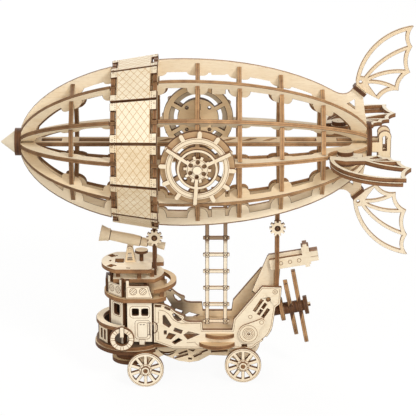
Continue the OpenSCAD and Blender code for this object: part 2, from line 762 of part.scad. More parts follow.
// Side fins lie in the plane of the side stringers, on seats under them, and swing on pins under washers
seat_top = -ply / 2 - fit;
fin_lift = seat_top + face_gap;
side_lead = [26.2, 3];
side_corners = [[-24, 2], [-24, 52]];
side_tips = [[35.2, 48.6], [37.5, 23.6], [29.5, 7.8], [22.5, 0.6], [15, -4.6]];
side_root = [[-21, 2.2], [-17.5, 11], [-9, 13.5]];
module side_fin_shape() difference() {
  union() {
    translate([side_back, side_out]) fin_shape(side_root, side_lead, side_corners, side_tips);
    circle(root_r);
    translate([0, -root_r + 1.4]) square([side_back + 2, 2 * root_r - 1.6]);
  }
  circle(bore_r);
}
module doubler_shape() difference() {
  translate([side_back, side_out] + side_lead) difference() {
    circle(lead_r - doubler_in, $fn = 96);
    circle(lead_r - doubler_in - doubler_w, $fn = 96);
  }
  translate([side_back + doubler_reach, -far / 2]) square([far, far]);
  translate([-far / 2, -far + side_out + 3]) square([far, far]);
  circle(seat_r + 1.8);
}
module side_fin() translate([pivot_x, pivot_r, fin_lift]) rotate(side_turn) {
  linear_extrude(ply) side_fin_shape();
  translate([0, 0, -ply]) linear_extrude(ply) doubler_shape();
}
module far_fin() color(face) at_axis() side_fin();
module near_fin() color(face) mirror([0, 1, 0]) at_axis() side_fin();
module fin_pivots() color(edge) both_sides() at_axis() translate([pivot_x, pivot_r, 0]) {
  top = fin_lift + ply + face_gap;
  translate([0, 0, seat_top - ply]) {
    cylinder(r = dowel_r, h = top + ply - seat_top + ply);
    linear_extrude(ply) difference() {
      hull() {
        circle(seat_r);
        translate([-9.5, -13]) circle(3);
        translate([4, -18]) circle(4);
      }
      circle(dowel_r + fit);
    }
  }
  difference() {
    translate([0, 0, top]) cylinder(r = washer_r, h = ply);
    translate([0, 0, top - 1]) cylinder(r = dowel_r + fit, h = ply + 2);
  }
}

// Bracket behind the tail disc: a shelf between two arched cheeks
module tail_bracket() color(warm) {
  x0 = tail_face + tail_disc_t;
  both_sides() plate_xz(4.5 + ply / 2) translate([x0, axis_z]) difference() {
    union() {
      translate([0, -6]) square([7, 8]);
      translate([5, -bracket_drop]) square([9, bracket_drop + bracket_rise]);
      translate([9.5, bracket_rise]) circle(4.7);
    }
    translate([9.5, bracket_rise - 1]) circle(1.6);
    translate([8.2, -6 + ply / 2]) square([2.6, bracket_rise - ply / 2 + 5]);
  }
  translate([x0, -4.5, axis_z - 6]) cube([12, 9, ply]);
}

// Helm: a fixed spoked back plate, and a ship's wheel with a toothed boss that turns on a pin
helm_x = ring_at(3);
wheel_y = helm_y + ply + face_gap;
boss_y = wheel_y + ply;
head_y = boss_y + thin + face_gap;
module at_helm(y) translate([helm_x, y, axis_z]) rotate([-90, 0, 0]) children();
module back_plate() difference() {
  union() {
    difference() {
      circle(back_r, $fn = 96);
      circle(back_in, $fn = 96);
    }
    circle(back_disc);
    for (i = [0 : 5]) rotate(i * 60 + 30) translate([back_disc - 1, -1.8]) square([back_in - back_disc + 2, 3.6]);
  }
  circle(dowel_r + fit);
  for (t = [-1, 1]) translate([0, t * tongue_z]) square([ply + 2 * fit, tongue_h + 2 * fit], center = true);
  for (i = [0 : 3]) rotate(45 + i * 90) translate([back_disc - 3.5, 0]) circle(1.1);
}
module helm_backs() color(edge) both_sides() at_helm(helm_y) linear_extrude(ply) back_plate();
module helm_pins() color(edge) both_sides() at_helm(helm_y) {
  cylinder(r = dowel_r, h = head_y - helm_y + 0.5);
  translate([0, 0, head_y - helm_y]) cylinder(r = helm_head, h = thin);
}
module helm_rim() difference() {
  union() {
    circle(helm_r, $fn = 96);
    for (i = [0 : handle_n - 1]) rotate(i * 360 / handle_n) {
      translate([helm_r - 1, -handle_w / 2]) square([handle_reach - helm_r + 1 - handle_w / 2, handle_w]);
      translate([handle_reach - handle_w / 2, 0]) circle(handle_w / 2);
    }
  }
  circle(helm_in, $fn = 96);
}
module toothed(r, n, tooth, root) {
  circle(root);
  for (i = [0 : n - 1]) rotate(i * 360 / n) translate([root - 1, -tooth / 2]) square([r - root + 1, tooth]);
}
module helm_boss() difference() {
  union() {
    toothed(boss_r, boss_teeth, 2.6, boss_r - 2);
    for (i = [0 : 2]) rotate(90 + i * 120) translate([boss_r - 4, -spoke_w / 2])
      square([handle_reach - boss_r + 3, spoke_w]);
    difference() {
      circle(boss_r + 4.6);
      circle(boss_r + 2.4);
    }
  }
  circle(bore_r);
  for (i = [0 : 5]) rotate(i * 60 + 30) translate([boss_r - 4.6, 0]) circle(1.2);
}
module helm(y, turn) at_helm(y) rotate(turn) children();
module far_helm() color(face) helm(wheel_y, helm_turn) linear_extrude(ply) helm_rim();
module far_helm_boss() color(face) helm(boss_y, helm_turn) linear_extrude(thin) helm_boss();
module near_helm() color(face) mirror([0, 1, 0]) helm(wheel_y, helm_turn) linear_extrude(ply) helm_rim();
module near_helm_boss() color(face) mirror([0, 1, 0]) helm(boss_y, helm_turn) linear_extrude(thin) helm_boss();

// Struts: forked boards that hang the gondola from the third and sixth rings
deck1_z = balcony_z + ply + wall_h;
deck2_z = deck1_z + ply + gallery_h;
top_z = deck2_z + ply;
front_x = ring_at(2) - front_shift;
front_head = axis_z - (band_top(ring_at(2) - ply / 2) - tooth_drop) - fit;
rear_x = ring_at(5) - rear_shift;
rear_head = axis_z - (env(ring_at(5)) - ring_drop) - fit;
module strut(x, foot, head, arch) plate_yz(x) difference() {
  translate([-leg_out, foot]) square([2 * leg_out, head - foot]);
  translate([-leg_in, foot - 1]) square([2 * leg_in, arch - foot + 1]);
  translate([-ply / 2 - fit, axis_z - env(x - ply / 2) - 2 * fit]) square([ply + 2 * fit, far]);
}
module knob_bore(x, z) translate([x, -leg_out - 1, z]) rotate([-90, 0, 0]) cylinder(r = pin_r + fit, h = pin_depth + 1);
module front_strut() color(dark) difference() {
  strut(front_x, deck1_z + ply, front_head, front_arch);
  knob_bore(front_x, front_knob_z);
}
module rear_strut() color(dark) difference() {
  strut(rear_x, shelf_z + ply, rear_head, rear_arch);
  knob_bore(rear_x, rear_knob_z);
}
module knob(x, z) translate([x, -leg_out, z]) rotate([90, 0, 0]) {
  linear_extrude(ply) difference() {
    toothed(knob_r, knob_teeth, 1.5, knob_r - 1.5);
    circle(pin_r + fit);
  }
  translate([0, 0, -pin_depth + fit]) cylinder(r = pin_r, h = pin_depth + ply + 0.8);
}
module strut_knobs() color(face) { knob(front_x, front_knob_z); knob(rear_x, rear_knob_z); }

// Ladder from the well deck, up behind the bottom keel
deck_top = deck_z + ply;
module ladder() color(face) plate_xz(ply / 2 + fit + thin / 2, thin) translate([ladder_x, deck_top]) {
  for (s = [-1, 1]) translate([s * ladder_span / 2 - rail_w / 2, 0])
    square([rail_w, rung_first + rung_pitch * (rung_n - 1) + rung_w + 2]);
  for (i = [0 : rung_n - 1]) translate([0, rung_first + i * rung_pitch])
    square([ladder_span + rail_w + 2 * rung_over, rung_w], center = true);
}

// Hull side: sweeping gunwale, ladder notch, raised stern, lattice and vents
module slots(list, w) for (s = list) bar([s[0], s[1]], s[2], w, s[3]);
module hull_outline() polygon(concat(
  bez([hull_front, hull_top], [-29.5, hull_top], [-24.6, hull_top - 4.4]),
  bez([-24.6, hull_top - 4.4], [-20.5, hull_top - 8.6], [-16.2, hull_top - 9.6]),
  [[-15.5, gunwale_z + 3.7], [-16.3, gunwale_z + 1.9], [-14.2, gunwale_z + 0.5], [-11, gunwale_z]],
  [[notch_x0, gunwale_z], [notch_x0 + 0.6, notch_z], [notch_x1, notch_z], [notch_x1 + 1.2, gunwale_z + 2],
   [41, stern_z], [55.6, stern_z - 0.5], [54.6, 60.4], [51.2, 57.7]],
  bez([49.2, 42.8], [47, 34], [38.5, 29]),
  [[34, floor_z + 0.3], [-24.3, floor_z + 0.3], [-31, floor_z + 3], [-36.5, floor_z + 5], [hull_front, floor_z + 5]]));
module hull_holes() {
  polygon([[-31.3, 51.2], [-30, 51.5], [-25.5, 44], [-27, 42.1], [-31.2, 45]]);
  polygon([[-22.6, 41.6], [-17.2, 39.6], [-18.2, 37.3], [-23.4, 39.4]]);
  polygon([[-27, 37.6], [-22.4, 36.2], [-25.6, 32.8], [-29, 33.6]]);
  polygon([[-20, 33.5], [-17.5, 32], [-22.5, 29], [-24.5, 30.4]]);
  polygon([[-16, 36.2], [-12.5, 38.6], [-5.2, 36.6], [-13.2, 32.8]]);
  bar([-29.7, 38.1], 2.6, 1.5, 90);
  slots([[-35, 58.9, 4.2, -3], [-28, 57, 4, -27]], 1.3);
  polygon([[-24.3, 52.4], [-22.8, 52.9], [-20.6, 51], [-18.2, 48.8], [-18.6, 47.6], [-20.6, 47.2],
    [-22.9, 49.2]]);
  bar([43.6, 32.9], 3.4, 2.4, 40);
  bar([28.4, 27.6], 3.6, 1.8, 0);
  slots([[38.5, 59.3, 10.5, 57], [42.8, 58.9, 4.2, 57], [39.8, 54, 4.2, 57], [43.9, 53.2, 7.6, 57]], 1.8);
  translate([45.8, 64]) circle(1.5);
}
side_mid = hull_y + ply / 2;
module hull_sides() color(face) both_sides() plate_xz(-side_mid) difference() {
  hull_outline();
  hull_holes();
}
inner_half = hull_y - fit;
module floor_board() color(warm) plate_xy(floor_z) {
  intersection() {
    translate([bow_x, 0]) circle(bow_r, $fn = 96);
    translate([-far, -far / 2]) square([far + hull_front, far]);
  }
  translate([hull_front - 1, -inner_half]) square([floor_x1 + 1 - hull_front, 2 * inner_half]);
}
module well_deck() color(warm) plate_xy(deck_z) translate([hull_front + ply, -inner_half])
  square([deck_x1 - ply - hull_front, 2 * inner_half]);

// Stern: shelf between the hull sides and a sloped bearing board for the shaft
shaft_u = [cos(prop_slope), 0, sin(prop_slope)];
bearing_d = -23.5;
module on_shaft(d) translate([prop_x, 0, prop_z] + shaft_u * d) rotate([0, 90 - prop_slope, 0]) children();
module stern_boards() color(warm) {
  plate_xy(shelf_z) translate([shelf_x0, -inner_half]) square([shelf_x1 - shelf_x0, 2 * inner_half]);
  difference() {
    on_shaft(bearing_d) translate([-9, -inner_half, -ply]) cube([18, 2 * inner_half, ply]);
    on_shaft(bearing_d - 2 * ply) cylinder(r = bore_r, h = 4 * ply);
  }
}

module engine_cover() plate_xz(-hull_y - ply - thin / 2, thin) difference() {
  union() {
    translate([cover_x, cover_z]) circle(cover_r);
    translate([cover_x + 9.5, cover_z + 9]) circle(2.4);
    translate([cover_x, cover_z]) polygon([[-1, cover_r], [8.6, 11.2], [11.3, 7.4], [6.8, 1]]);
  }
  translate([cover_x, cover_z]) circle(1.3);
}
module engine_covers() color(face) both_sides() engine_cover();

module step(z, out, x) translate([x, -hull_y - ply - fit, z - ply]) linear_extrude(ply) intersection() {
  translate([0, step_len * 0.5 - out]) circle(step_len * 0.5, $fn = 96);
  translate([-step_len / 2, -far]) square([step_len, far]);
}
step_x = (notch_x0 + notch_x1) / 2;
module steps() color(warm) both_sides() {
  step(step1_z, step1_out, step_x + 2);
  step(step2_z, step2_out, step_x);
}

// Chassis: two lattice boards under the floor that carry the axles, each with a plain liner behind it
bow_bottom = floor_z - ply;
module crescent(a, b, c, w) polygon(concat(bez(a, b, c), bez(c, b - [0, 2 * w], a)));
module chassis_shape() difference() {
  union() {
    polygon([[-52, bow_bottom], [-36, bow_bottom], [-36, floor_z], [37, floor_z], [36, 18],
      [rear_axle_x + 6, axle_z], [rear_axle_x - 5, axle_z], [17, 16.8], [3, 17.4], [-5, 12.8], [-12, 11.6],
      [-20, 12.8], [-31, 17.5], [front_axle_x + 5, axle_z], [front_axle_x - 5, axle_z]]);
    for (x = [front_axle_x, rear_axle_x]) translate([x, axle_z]) circle(5.6);
  }
  for (x = [front_axle_x, rear_axle_x]) translate([x, axle_z]) circle(bore_r);
  slots([[-18.4, 16.7, 11, 17], [-6, 17.7, 6.4, 25], [10, 20.8, 12, 4]], 1.8);
  slots([[-16.8, 19.6, 6.8, 21], [-1.5, 20.4, 6, 22], [-11.6, 14.6, 2.6, -6]], 1.4);
  polygon([[-12.9, 21.8], [-9.3, 20.1], [-7.7, 21.8]]);
  crescent([-35, 21.6], [-29.5, 18.2], [-21.4, 21.6], 1.3);
  crescent([-34, 20.2], [-28.4, 16.6], [-22.4, 20], 1.4);
}
module chassis_liner() polygon([[-35.4, floor_z - fit], [17, floor_z - fit], [17, 18.4], [3, 18.9],
  [-5, 14.3], [-12, 13.1], [-20, 14.3], [-30, 18.6], [-35.4, 18.6]]);
module chassis() color(face) both_sides() {
  plate_xz(-chassis_y - ply / 2) chassis_shape();
  plate_xz(-chassis_y + fit + thin / 2, thin) chassis_liner();
}

// Round bow
module bow_plate() color(dark) {
  plate_xy(bow_bottom) intersection() {
    translate([bow_x, 0]) circle(bow_low_r, $fn = 96);
    translate([-far, -far / 2]) square([far - 37, far]);
  }
  difference() {
    translate([bow_x - 1, 0, chin_z]) {
      cylinder(r = chin_r, h = ply);
      translate([0, 0, ply]) cylinder(r = chin_drum_r, h = bow_bottom - chin_z - ply);
    }
    translate([front_axle_x - dowel_r - chin_gap, -far / 2, -1]) cube([far, far, bow_bottom + 1]);
  }
}
module bow_rail() color(face) plate_xy(bow_rail_z) intersection() {
  translate([bow_x, 0]) difference() {
    circle(bow_r, $fn = 96);
    circle(bow_r - bow_rail_w, $fn = 96);
  }
  translate([-far, -far / 2]) square([far + tower_x0 - 1.5, far]);
}
module bow_walls() color(face) for (i = [-1 : 1]) translate([bow_x, 0, 0]) rotate(180 + i * 33)
  plate_yz(bow_r - 3.2) difference() {
    translate([-6.2, floor_z + ply]) square([12.4, bow_rail_z - floor_z - ply]);
    for (s = [-1, 1]) translate([s * 2.2, (floor_z + ply + bow_rail_z) / 2]) square([1.8, 7], center = true);
  }

// Tower: two side panels, two slanted panels and a front panel, with windows
floor_top = floor_z + ply;
tower_h = balcony_z - floor_top;
window_z = floor_top + window_h;
module window(w, h) polygon([for (q = [0 : 3], a = [0 : 30 : 90])
  [(q == 0 || q == 3 ? 1 : -1) * (w / 2 - window_round), (q < 2 ? 1 : -1) * (h / 2 - window_round)]
  + window_round * [cos(q * 90 + a), sin(q * 90 + a)]]);
module tower_side() plate_xz(-side_mid) {
  difference() {
    translate([tower_x0, floor_top + panel_lift]) square([hull_front - seam - tower_x0, tower_h - panel_lift]);
    for (s = [-1, 1]) translate([(tower_x0 + hull_front) / 2 + s * 3.5, window_z]) window(4.8, 5.2);
  }
  translate([(tower_x0 + hull_front - panel_tab) / 2 + 1.2, floor_top]) square([panel_tab, panel_lift + 1]);
}
diag_c = [bow_x - 9, side_mid - 6.1];
module slanted(c, l, z, h, cut) translate([c[0], -c[1], 0]) rotate(45) plate_yz(0) difference() {
  translate([-l / 2, z]) square([l, h]);
  if (cut) translate([0, window_z]) window(6, 8);
}
module tower_walls() color(face) {
  both_sides() {
    tower_side();
    slanted(diag_c, tower_diag, floor_top, tower_h, true);
  }
  plate_yz(bow_x - tower_front) translate([-tower_front_half, floor_top]) difference() {
    square([2 * tower_front_half, tower_h]);
    translate([tower_front_half, window_z - floor_top]) window(6, 8);
  }
}

// Balcony with an open rail round its rear half
balcony_top = balcony_z + ply;
module balcony_round(r) translate([balcony_x, 0]) intersection() {
  circle(r, $fn = 96);
  square([far, 2 * balcony_half], center = true);
}
module balcony() color(warm) {
  plate_xy(balcony_z) intersection() {
    balcony_round(balcony_r);
    translate([balcony_x + balcony_rear - far, -far / 2]) square([far, far]);
  }
  plate_xy(balcony_top + rail_lift) difference() {
    intersection() {
      balcony_round(balcony_r);
      translate([balcony_x + rail_start, -far / 2]) square([far, far]);
    }
    translate([balcony_x, 0]) circle(balcony_r - rail_band, $fn = 96);
  }
  both_sides() translate([balcony_x + rail_start + 4.4, -rail_post_y, balcony_top])
    cube([ply, ply, rail_lift]);
}

// Bridge walls: panels with raised posts at their front ends, and two inner bulkheads
wall_mid = balcony_half - 1 - ply / 2;
module bridge_walls() color(face) {
  both_sides() {
    plate_xz(-wall_mid) translate([balcony_x, balcony_top]) {
      polygon([[-wall_front, 0], [wall_rear, 0], [wall_rear - 3, wall_h], [-wall_front, wall_h]]);
      translate([-wall_front, wall_h - 1]) square([post_w, post_h + 1]);
    }
    slanted([balcony_x - 17.2, wall_mid - 6.3], wall_diag, balcony_top, wall_h, false);
    for (t = [-1, 1]) translate([balcony_x - 17.2, -wall_mid + 6.3, 0]) rotate(45) plate_yz(0)
      translate([t * (wall_diag - post_w) / 2 - post_w / 2, balcony_top + wall_h - 1]) square([post_w, post_h + 1]);
  }
  plate_yz(balcony_x - 24) translate([-7, balcony_top]) square([14, wall_h]);
  for (x = [-bulk_front, bulk_rear]) plate_yz(balcony_x + x) translate([0, balcony_top]) difference() {
    translate([-bulk_half, 0]) square([2 * bulk_half, wall_h]);
    translate([-bulk_half + 6, -1]) square([2 * bulk_half - 12, wall_h - 2]);
  }
}

// Upper decks: the bridge deck, small posts, and the top deck with its hatches
module oval(half) translate([top_x, 0]) intersection() {
  circle(top_r, $fn = 96);
  square([far, 2 * half], center = true);
}
module upper_decks() color(warm) {
  plate_xy(deck1_z) intersection() {
    oval(bridge_half);
    translate([top_x - bridge_fore, -far / 2]) square([far, far]);
  }
  both_sides() for (p = [[-12, 9], [3.8, 13.2], [13, 9]]) translate([top_x + p[0], p[1], deck1_z + ply])
    cube([ply, ply, gallery_h]);
  plate_xy(deck2_z) difference() {
    oval(top_half);
    translate([front_x - ply / 2 - 0.5, -far - bite_y]) square([far, far]);
    translate([front_x - ply / 2 - fit, leg_in - fit]) square([ply + 2 * fit, leg_out - leg_in + 2 * fit]);
    translate([top_x - 13, -hatch_half]) square([6.6, 2 * hatch_half]);
    for (t = [-1, 1]) translate([top_x - 15.6, t * 11]) rotate(t * 35) square([4.6, 6], center = true);
    for (a = [100 : 40 : 260]) translate([top_x, 0]) rotate(a) translate([16.5, 0]) square([1.6, 3], center = true);
  }
}

// Telescope: its lug hangs on a pin between two braced cheeks, with a stool behind them
scope_z = top_z + scope_h;
cheek_in = thin / 2 + face_gap;
module scope_stand() color(edge) {
  both_sides() plate_xz(cheek_in + thin / 2, thin) difference() {
    union() {
      polygon([[scope_x - 3.8, top_z], [scope_x + 4.2, top_z], [scope_x + scope_head, scope_z],
        [scope_x - scope_head, scope_z]]);
      translate([scope_x, scope_z]) circle(scope_head);
    }
    polygon([[scope_x - 1.9, top_z + 1.4], [scope_x + 2.1, top_z + 1.4],
      [scope_x + 1.2, scope_z - 2.6], [scope_x - 1.2, scope_z - 2.6]]);
    translate([scope_x, scope_z]) circle(pin_r + fit);
  }
  translate([scope_x, 0, scope_z]) rotate([90, 0, 0])
    cylinder(r = pin_r, h = 2 * (cheek_in + thin) + 1, center = true);
  translate([scope_x + 8.5, 0, top_z]) {
    cylinder(r = dowel_r, h = stool_h - thin);
    translate([0, 0, stool_h - thin]) cylinder(r = stool_r, h = thin);
  }
}
module telescope() color(warm) translate([scope_x, 0, scope_z]) rotate([0, -90 + scope_tilt, 0]) difference() {
  union() {
    translate([scope_rise, 0, -scope_aft])
      rotate_extrude() polygon([[0, 0], [eye_r, 0], [eye_r - 0.5, 4.6], [draw_r, 5], [draw_r, 13], [tube_r, 13],
        [tube_r, 18.5], [barrel_r - 0.3, 18.5], [barrel_r, scope_aft], [barrel_r - 0.4, scope_aft + scope_fore - 7],
        [barrel_r + 0.7, scope_aft + scope_fore - 7], [barrel_r + 0.6, scope_aft + scope_fore - 5.4],
        [bell_r, scope_aft + scope_fore], [bell_r - 1.2, scope_aft + scope_fore],
        [barrel_r - 1.2, scope_aft + scope_fore - 5], [0, scope_aft + scope_fore - 5]]);
    rotate([90, 0, 0]) cylinder(r = scope_head, h = thin, center = true);
    translate([0, -thin / 2, -scope_head]) cube([scope_rise - barrel_r + 1.5, thin, 2 * scope_head]);
  }
  rotate([90, 0, 0]) cylinder(r = pin_r + play, h = 2 * thin, center = true);
}

// Life buoy on a strap at the near bow
buoy_y = bow_r + fit;
module life_buoy() color(face) {
  plate_xz(-buoy_y - ply / 2) translate([buoy_x, buoy_z]) difference() {
    circle(buoy_r);
    circle(buoy_in);
  }
  plate_xz(-buoy_y - ply - thin / 2, thin) translate([buoy_x - 1.4, buoy_z + buoy_in - 3])
    square([2.8, buoy_r - buoy_in + 4.4]);
}

// Stern plate and gun: a middle board between two cheeks, all three with a flange and a muzzle
module at_gun() translate([gun_x, gun_z]) rotate(gun_slope) children();
module gun_front() translate([cheek_len - 0.4, 0]) {
  translate([0, flange_lift - flange_h / 2 + 1.8]) square([flange_w, flange_h - 3.6]);
  translate([1.2, flange_lift - flange_h / 2]) square([flange_w - 2.4, flange_h]);
  translate([0, 0.4 - muzzle_h / 2]) square([flange_w + muzzle_len, muzzle_h]);
}
module stern_gun() color(face) {
  plate_xz() {
    polygon([[gun_x - gun_foot, shelf_z + ply], [gun_x + 3, shelf_z + ply], [gun_x + 3, gun_z - 4], [gun_x + 4, gun_z + 5.6],
      [gun_x - 1.5, gun_z + 4.7], [gun_x - gun_foot - 2.5, shelf_z + ply + 2]]);
    at_gun() {
      translate([0, -board_h / 2 + 2]) square([cheek_len + 2, board_h - 2]);
      gun_front();
    }
  }
  both_sides() plate_xz(-ply) at_gun() {
    translate([0, -cheek_h / 2 - 1.4]) square([cheek_len, cheek_h]);
    gun_front();
  }
}

// Propeller: two blade plates, spacers, a front disc and a nut on a sloped shaft
module blades(r) difference() {
  union() {
    circle(hub_r);
    for (a = [0, 180]) rotate(a) polygon([[0, -2.2], [r * 0.35, -blade_w / 2], [r * 0.8, -blade_w / 2],
      [r, -blade_w / 4], [r, blade_w / 4], [r * 0.8, blade_w / 2], [r * 0.35, blade_w / 2], [0, 2.2]]);
  }
  circle(dowel_r + fit);
}
module bored(r, h) difference() {
  cylinder(r = r, h = h);
  translate([0, 0, -1]) cylinder(r = dowel_r + fit, h = h + 2);
}
module propeller() color(dark) {
  on_shaft(-ply / 2) linear_extrude(ply) blades(prop_r);
  on_shaft(-prop_step - ply / 2) linear_extrude(ply) rotate(blade_turn) blades(prop2_r);
  on_shaft(-2 * prop_step - ply / 2) bored(prop_disc_r, ply);
  on_shaft(ply / 2 + nut_lift) bored(nut_r, ply);
}
module prop_shaft() color(edge) {
  on_shaft(bearing_d - ply - shaft_in) cylinder(r = dowel_r, h = ply + shaft_in - bearing_d + 8);
  on_shaft(bearing_d - 2 * ply - face_gap) bored(hub_r, ply);
  on_shaft(bearing_d + face_gap) bored(hub_r - 1, -2 * prop_step - ply / 2 - bearing_d - face_gap);
  for (i = [1, 2]) on_shaft(-i * prop_step + ply / 2) bored(hub_r - 0.5, prop_step - ply);
  on_shaft(ply / 2) bored(hub_r - 1, nut_lift);
}

// Spoked wheels with caps, on round axles
module wheel_shape() difference() {
  circle(wheel_r, $fn = 96);
  difference() {
    circle(wheel_r - wheel_rim, $fn = 96);
    circle(wheel_hub);
    for (i = [0 : wheel_spokes - 1]) rotate(i * 360 / wheel_spokes + 90)
      translate([0, -wheel_spoke_w / 2]) square([wheel_r - 1, wheel_spoke_w]);
  }
  circle(dowel_r + fit);
}
module wheel(x, y) translate([x, -y, axle_z]) rotate([90, 0, 0]) {
  linear_extrude(ply) wheel_shape();
  translate([0, 0, ply]) linear_extrude(thin) difference() {
    circle(cap_r);
    circle(dowel_r + fit);
  }
}
module front_wheels() color(face) both_sides() wheel(front_axle_x, front_wheel_y);
module rear_wheels() color(face) both_sides() wheel(rear_axle_x, rear_wheel_y);
module axle(x, y) translate([x, 0, axle_z]) rotate([90, 0, 0])
  cylinder(r = dowel_r, h = 2 * (y + ply + thin) + 0.6, center = true);
module front_axle() color(edge) axle(front_axle_x, front_wheel_y);
module rear_axle() color(edge) axle(rear_axle_x, rear_wheel_y);

nose_cone();
nose_disc();
tail_disc();
spine();
top_keel();
bottom_keel();
shoulder_stringers();
upper_stringers();
side_stringers();
lower_stringers();
belly_stringers();
ring_1();
ring_2();
ring_3();
ring_4();
ring_5();
ring_6();
ring_7();
band_plates();
top_fin();
bottom_fin();
fin_collars();
near_fin();
far_fin();
fin_pivots();
tail_bracket();
helm_backs();
helm_pins();
near_helm();
near_helm_boss();
far_helm();
far_helm_boss();
front_strut();
rear_strut();
strut_knobs();
ladder();
hull_sides();
floor_board();
well_deck();
stern_boards();
engine_covers();
steps();
chassis();
bow_plate();
bow_rail();
bow_walls();
tower_walls();
balcony();
bridge_walls();
upper_decks();
scope_stand();
telescope();
life_buoy();
stern_gun();
propeller();
prop_shaft();
front_wheels();
rear_wheels();
front_axle();
rear_axle();
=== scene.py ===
import json
import math
import bpy
import numpy as np
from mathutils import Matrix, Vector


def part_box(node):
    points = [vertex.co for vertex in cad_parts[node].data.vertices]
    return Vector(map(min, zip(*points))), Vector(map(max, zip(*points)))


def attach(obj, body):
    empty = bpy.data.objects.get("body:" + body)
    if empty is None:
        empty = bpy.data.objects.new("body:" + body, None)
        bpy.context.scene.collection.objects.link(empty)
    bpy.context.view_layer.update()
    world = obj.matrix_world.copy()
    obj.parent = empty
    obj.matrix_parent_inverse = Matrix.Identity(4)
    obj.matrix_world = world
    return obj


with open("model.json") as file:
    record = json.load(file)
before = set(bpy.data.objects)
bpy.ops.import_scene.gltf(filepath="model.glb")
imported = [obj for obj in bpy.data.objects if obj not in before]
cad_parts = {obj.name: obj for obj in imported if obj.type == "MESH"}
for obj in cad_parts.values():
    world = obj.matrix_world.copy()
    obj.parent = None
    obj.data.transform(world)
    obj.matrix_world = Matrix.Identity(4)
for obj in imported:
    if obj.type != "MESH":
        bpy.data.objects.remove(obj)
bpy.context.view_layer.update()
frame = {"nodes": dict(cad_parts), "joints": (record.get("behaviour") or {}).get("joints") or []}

# The table and the light.
# A pale floor that fades into a white backdrop, four soft lamps under an even sky,
# and a long lens that looks a little down on the near side of the model.
FLOOR_R, FLOOR_GLOW, GLOW_SHARE = 2.5, 1.07, 0.86
SKY_COLOUR, SKY_STRENGTH = (1.0, 0.985, 0.965, 1), 0.40
CAMERA_AT, CAMERA_PITCH, CAMERA_LENS = (0.0017, -1.571, 0.6487), 71.64, 195.8
scene = bpy.context.scene
scene.view_settings.view_transform = "Standard"
bpy.ops.object.select_all(action="DESELECT")

def new_material(name):
    mat = bpy.data.materials.new(name)
    mat.use_nodes = True
    tree = mat.node_tree
    return mat, tree, tree.nodes["Principled BSDF"]

def math_node(tree, kind, a, b):
    node = tree.nodes.new("ShaderNodeMath")
    node.operation = kind
    for value, socket in ((a, node.inputs[0]), (b, node.inputs[1])):
        if isinstance(value, float):
            socket.default_value = value
        else:
            tree.links.new(value, socket)
    return node.outputs[0]

def sees_backdrop(tree):
    ray = tree.nodes.new("ShaderNodeLightPath").outputs
    direct = math_node(tree, "MAXIMUM", ray["Is Camera Ray"], ray["Is Glossy Ray"])
    return math_node(tree, "MAXIMUM", direct, ray["Is Transmission Ray"])

world = bpy.data.worlds.new("studio_sky")
scene.world = world
world.use_nodes = True
sky = world.node_tree
sky.nodes["Background"].inputs["Color"].default_value = SKY_COLOUR
sky.nodes["Background"].inputs["Strength"].default_value = SKY_STRENGTH
white = sky.nodes.new("ShaderNodeBackground")
white.inputs["Color"].default_value = (1, 1, 1, 1)
white.inputs["Strength"].default_value = 1.0
sky_mix = sky.nodes.new("ShaderNodeMixShader")
sky.links.new(sees_backdrop(sky), sky_mix.inputs[0])
sky.links.new(sky.nodes["Background"].outputs[0], sky_mix.inputs[1])
sky.links.new(white.outputs[0], sky_mix.inputs[2])
sky.links.new(sky_mix.outputs[0], sky.nodes["World Output"].inputs["Surface"])

bpy.ops.mesh.primitive_circle_add(vertices=64, radius=FLOOR_R, fill_type="NGON")
floor = bpy.context.object
floor.name = "table"
floor_mat, tree, shader = new_material("pale_table")
shader.inputs["Base Color"].default_value = (0.6, 0.59, 0.57, 1)
shader.inputs["Roughness"].default_value = 0.9
glow = tree.nodes.new("ShaderNodeEmission")
glow.inputs["Strength"].default_value = FLOOR_GLOW
floor_mix = tree.nodes.new("ShaderNodeMixShader")
tree.links.new(math_node(tree, "MULTIPLY", sees_backdrop(tree), GLOW_SHARE), floor_mix.inputs[0])
tree.links.new(shader.outputs[0], floor_mix.inputs[1])
tree.links.new(glow.outputs[0], floor_mix.inputs[2])
tree.links.new(floor_mix.outputs[0], tree.nodes["Material Output"].inputs["Surface"])
floor.data.materials.append(floor_mat)

def soft_lamp(name, place, aim, size, power):
    bpy.ops.object.light_add(type="AREA", location=place)
    lamp = bpy.context.object
    lamp.name = name
    lamp.data.size = size
    lamp.data.energy = power
    ahead_x, ahead_y = aim[0] - place[0], aim[1] - place[1]
    pitch = math.atan2(math.hypot(ahead_x, ahead_y), place[2] - aim[2])
    lamp.rotation_euler = (pitch, 0, math.atan2(ahead_y, ahead_x) - math.pi / 2)

soft_lamp("key_lamp", (0.72, -1.1, 1.15), (0, 0, 0.16), 0.36, 12.4)
soft_lamp("fill_lamp", (-0.75, -1.0, 0.8), (0, 0, 0.14), 1.0, 3.0)
soft_lamp("front_lamp", (0.12, -1.6, 0.62), (0, 0, 0.15), 0.3, 6.6)
soft_lamp("back_lamp", (-0.4, 1.25, 0.85), (0, 0, 0.14), 0.8, 8.5)

bpy.ops.object.camera_add(location=CAMERA_AT, rotation=(math.radians(CAMERA_PITCH), 0, 0))
camera = bpy.context.object
camera.data.lens = CAMERA_LENS
camera.data.sensor_width = 36
camera.data.clip_start = 0.05
scene.camera = camera

